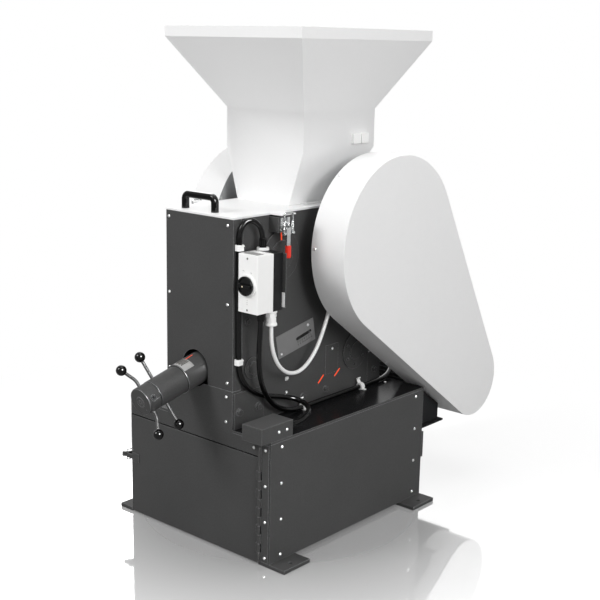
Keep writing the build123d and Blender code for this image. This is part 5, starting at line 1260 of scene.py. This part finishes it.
class CRUSHER_OT_stage(bpy.types.Operator):
    """Camera at the photograph's viewpoint, soft lamps and a pale, faintly reflecting floor"""
    bl_idname = "crusher.stage"
    bl_label = "Stage"

    def execute(self, context):
        stage = context.scene.crusher_stage
        camera = link("camera", bpy.data.cameras.new("camera"))
        camera.data.lens = stage.focal
        camera.data.sensor_width = SENSOR
        camera.data.sensor_fit = "HORIZONTAL"
        camera.data.clip_start = 0.05
        turn = Matrix.Identity(3)
        for degrees, axis in ((CAMERA_HEADING, "Z"), (90 - CAMERA_DIP, "X"), (CAMERA_ROLL, "Z")):
            turn = turn @ Matrix.Rotation(math.radians(degrees), 3, axis)
        camera.matrix_world = Matrix.Translation(CAMERA_PLACE) @ turn.to_4x4()
        context.scene.camera = camera
        for name, place, aim, power, size in (
                ("key lamp", (-1.5, -4.0, 3.6), (0, 0, 1.0), stage.key, 1.5),
                ("side lamp", (4.5, -1.5, 2.7), (0, 0, 0.9), stage.fill, 1.8),
                ("top lamp", (0.2, 0.4, 4.6), (0, 0, 0.4), stage.top, 3.0),
                ("back lamp", (-3.2, 3.4, 2.8), (0, 0, 0.8), stage.back, 2.4),
                ("spark lamp", (4.2, -1.5, 2.3), (0, -0.4, 0.6), stage.spark, 0.3)):
            lamp = link(name, bpy.data.lights.new(name, "AREA"))
            lamp.data.energy = power
            lamp.data.size = size
            lamp.location = place
            lamp.rotation_euler = (Vector(aim) - Vector(place)).to_track_quat("-Z", "Y").to_euler()
        context.scene.world = self.world(stage)
        self.floor()
        context.scene.view_settings.view_transform = "Standard"
        return {"FINISHED"}

    def world(self, stage):
        """Even light, shown as white to the camera.

        In reflections it is dimmer, but for what lies beyond the machine and for one round lamp."""
        beyond, lamp = Vector((-0.64, 0.74, 0.2)).normalized(), Vector((0.85, -0.15, 0.50)).normalized()
        dim, lamp_strength = 0.5, 38.0
        lamp_edge, lamp_core = math.cos(0.27), math.cos(0.21)
        world = bpy.data.worlds.new("studio")
        world.use_nodes = True
        tree = world.node_tree
        tree.nodes.clear()
        ray = add_node(tree, "ShaderNodeLightPath")
        seen = add_node(tree, "ShaderNodeMix", {2: stage.ambient, 3: 1.0},
                        {0: ray.outputs["Is Camera Ray"]}, data_type="FLOAT")
        look = add_node(tree, "ShaderNodeTexCoord").outputs["Generated"]
        near = add_node(tree, "ShaderNodeVectorMath", {1: lamp}, {0: look}, operation="DOT_PRODUCT")
        far = add_node(tree, "ShaderNodeVectorMath", {1: beyond}, {0: look}, operation="DOT_PRODUCT")
        level = add_node(tree, "ShaderNodeMapRange",
                         {FROM_LOW: 0.55, FROM_HIGH: 0.88, TO_LOW: dim, TO_HIGH: 1.0},
                         {0: far.outputs["Value"]}, interpolation_type="SMOOTHSTEP")
        spot = add_node(tree, "ShaderNodeMapRange",
                        {FROM_LOW: lamp_edge, FROM_HIGH: lamp_core, TO_LOW: 0.0, TO_HIGH: lamp_strength},
                        {0: near.outputs["Value"]}, interpolation_type="SMOOTHSTEP")
        mirrored_light = add_node(tree, "ShaderNodeMath", links={0: level.outputs[0], 1: spot.outputs[0]},
                                  operation="ADD")
        both = add_node(tree, "ShaderNodeMix", data_type="FLOAT",
                        links={0: ray.outputs["Is Glossy Ray"], 2: seen.outputs[0],
                               3: mirrored_light.outputs[0]})
        light = add_node(tree, "ShaderNodeBackground", {"Color": WHITE}, {"Strength": both.outputs[0]})
        add_node(tree, "ShaderNodeOutputWorld", links={"Surface": light.outputs[0]})
        return world

    def floor(self):
        """A wide sheet of white acrylic that mirrors less and less, and fades into the background."""
        mirror_ends, mirror_shares = (0.45, 1.05), (0.76, 0.30)
        fade_ends = (0.95, 1.9)
        glow, bounce_tone = 0.10, 0.36
        bm = bmesh.new()
        bmesh.ops.create_circle(bm, cap_ends=True, segments=96, radius=9.0)
        mesh = bpy.data.meshes.new("floor")
        bm.to_mesh(mesh)
        bm.free()
        floor = link("floor", mesh)
        floor.location.z = -0.0005
        material, tree, output, place = start_material("white acrylic sheet, polished")
        ray = add_node(tree, "ShaderNodeLightPath")
        matt = add_node(tree, "ShaderNodeBsdfDiffuse", {"Color": WHITE})
        mirror = add_node(tree, "ShaderNodeBsdfAnisotropic", {"Color": WHITE, "Roughness": 0.05})
        away = add_node(tree, "ShaderNodeVectorMath", links={0: place}, operation="LENGTH")
        polish = add_node(tree, "ShaderNodeMapRange",
                          {FROM_LOW: mirror_ends[0], FROM_HIGH: mirror_ends[1],
                           TO_LOW: mirror_shares[0], TO_HIGH: mirror_shares[1]}, {0: away.outputs["Value"]})
        sheet = add_node(tree, "ShaderNodeMixShader",
                         links={0: polish.outputs[0], 1: matt.outputs[0], 2: mirror.outputs[0]})
        lifted = add_node(tree, "ShaderNodeEmission", {"Color": WHITE, "Strength": glow})
        sheet = add_node(tree, "ShaderNodeAddShader", links={0: sheet.outputs[0], 1: lifted.outputs[0]})
        white = add_node(tree, "ShaderNodeEmission", {"Color": WHITE, "Strength": 1.0})
        fade = add_node(tree, "ShaderNodeMapRange",
                        {FROM_LOW: fade_ends[0], FROM_HIGH: fade_ends[1], TO_LOW: 0.0, TO_HIGH: 1.0},
                        {0: away.outputs["Value"]}, interpolation_type="SMOOTHSTEP")
        shown = add_node(tree, "ShaderNodeMixShader",
                         links={0: fade.outputs[0], 1: sheet.outputs[0], 2: white.outputs[0]})
        bounce = add_node(tree, "ShaderNodeBsdfDiffuse", {"Color": (*[bounce_tone] * 3, 1)})
        whole = add_node(tree, "ShaderNodeMixShader",
                         links={0: ray.outputs["Is Camera Ray"], 1: bounce.outputs[0], 2: shown.outputs[0]})
        tree.links.new(whole.outputs[0], output.inputs["Surface"])
        mesh.materials.append(material)


class CRUSHER_PT_panel(bpy.types.Panel):
    """Lists the machine's pieces and finishes"""
    bl_idname = "CRUSHER_PT_panel"
    bl_label = "Laboratory Jaw Crusher"
    bl_space_type = "VIEW_3D"
    bl_region_type = "UI"
    bl_category = "Jaw Crusher"

    def draw(self, context):
        scene = context.scene
        for group in (scene.crusher_finishes, scene.crusher_sizes, scene.crusher_stage):
            for name in group.__annotations__:
                self.layout.prop(group, name)
        for operator in OPERATORS:
            self.layout.operator(operator.bl_idname)


OPERATORS = (CRUSHER_OT_cabinet, CRUSHER_OT_door, CRUSHER_OT_frame, CRUSHER_OT_jaws, CRUSHER_OT_adjuster,
             CRUSHER_OT_drive, CRUSHER_OT_guards, CRUSHER_OT_hopper, CRUSHER_OT_clamps, CRUSHER_OT_starter,
             CRUSHER_OT_cables, CRUSHER_OT_screws, CRUSHER_OT_markings, CRUSHER_OT_stage)
GROUPS = (CrusherFinishes, CrusherSizes, CrusherStage)


def register():
    for cls in GROUPS + OPERATORS + (CRUSHER_PT_panel,):
        bpy.utils.register_class(cls)
    bpy.types.Scene.crusher_finishes = bpy.props.PointerProperty(type=CrusherFinishes)
    bpy.types.Scene.crusher_sizes = bpy.props.PointerProperty(type=CrusherSizes)
    bpy.types.Scene.crusher_stage = bpy.props.PointerProperty(type=CrusherStage)


def unregister():
    for name in ("crusher_stage", "crusher_sizes", "crusher_finishes"):
        delattr(bpy.types.Scene, name)
    for cls in reversed(GROUPS + OPERATORS + (CRUSHER_PT_panel,)):
        bpy.utils.unregister_class(cls)


def main():
    """Builds the machine and its stage."""
    register()
    bpy.ops.crusher.cabinet()
    bpy.ops.crusher.door()
    bpy.ops.crusher.frame()
    bpy.ops.crusher.jaws()
    bpy.ops.crusher.adjuster()
    bpy.ops.crusher.drive()
    bpy.ops.crusher.guards()
    bpy.ops.crusher.hopper()
    bpy.ops.crusher.clamps()
    bpy.ops.crusher.starter()
    bpy.ops.crusher.cables()
    bpy.ops.crusher.screws()
    bpy.ops.crusher.markings()
    bpy.ops.crusher.stage()


if __name__ == "__main__":
    main()
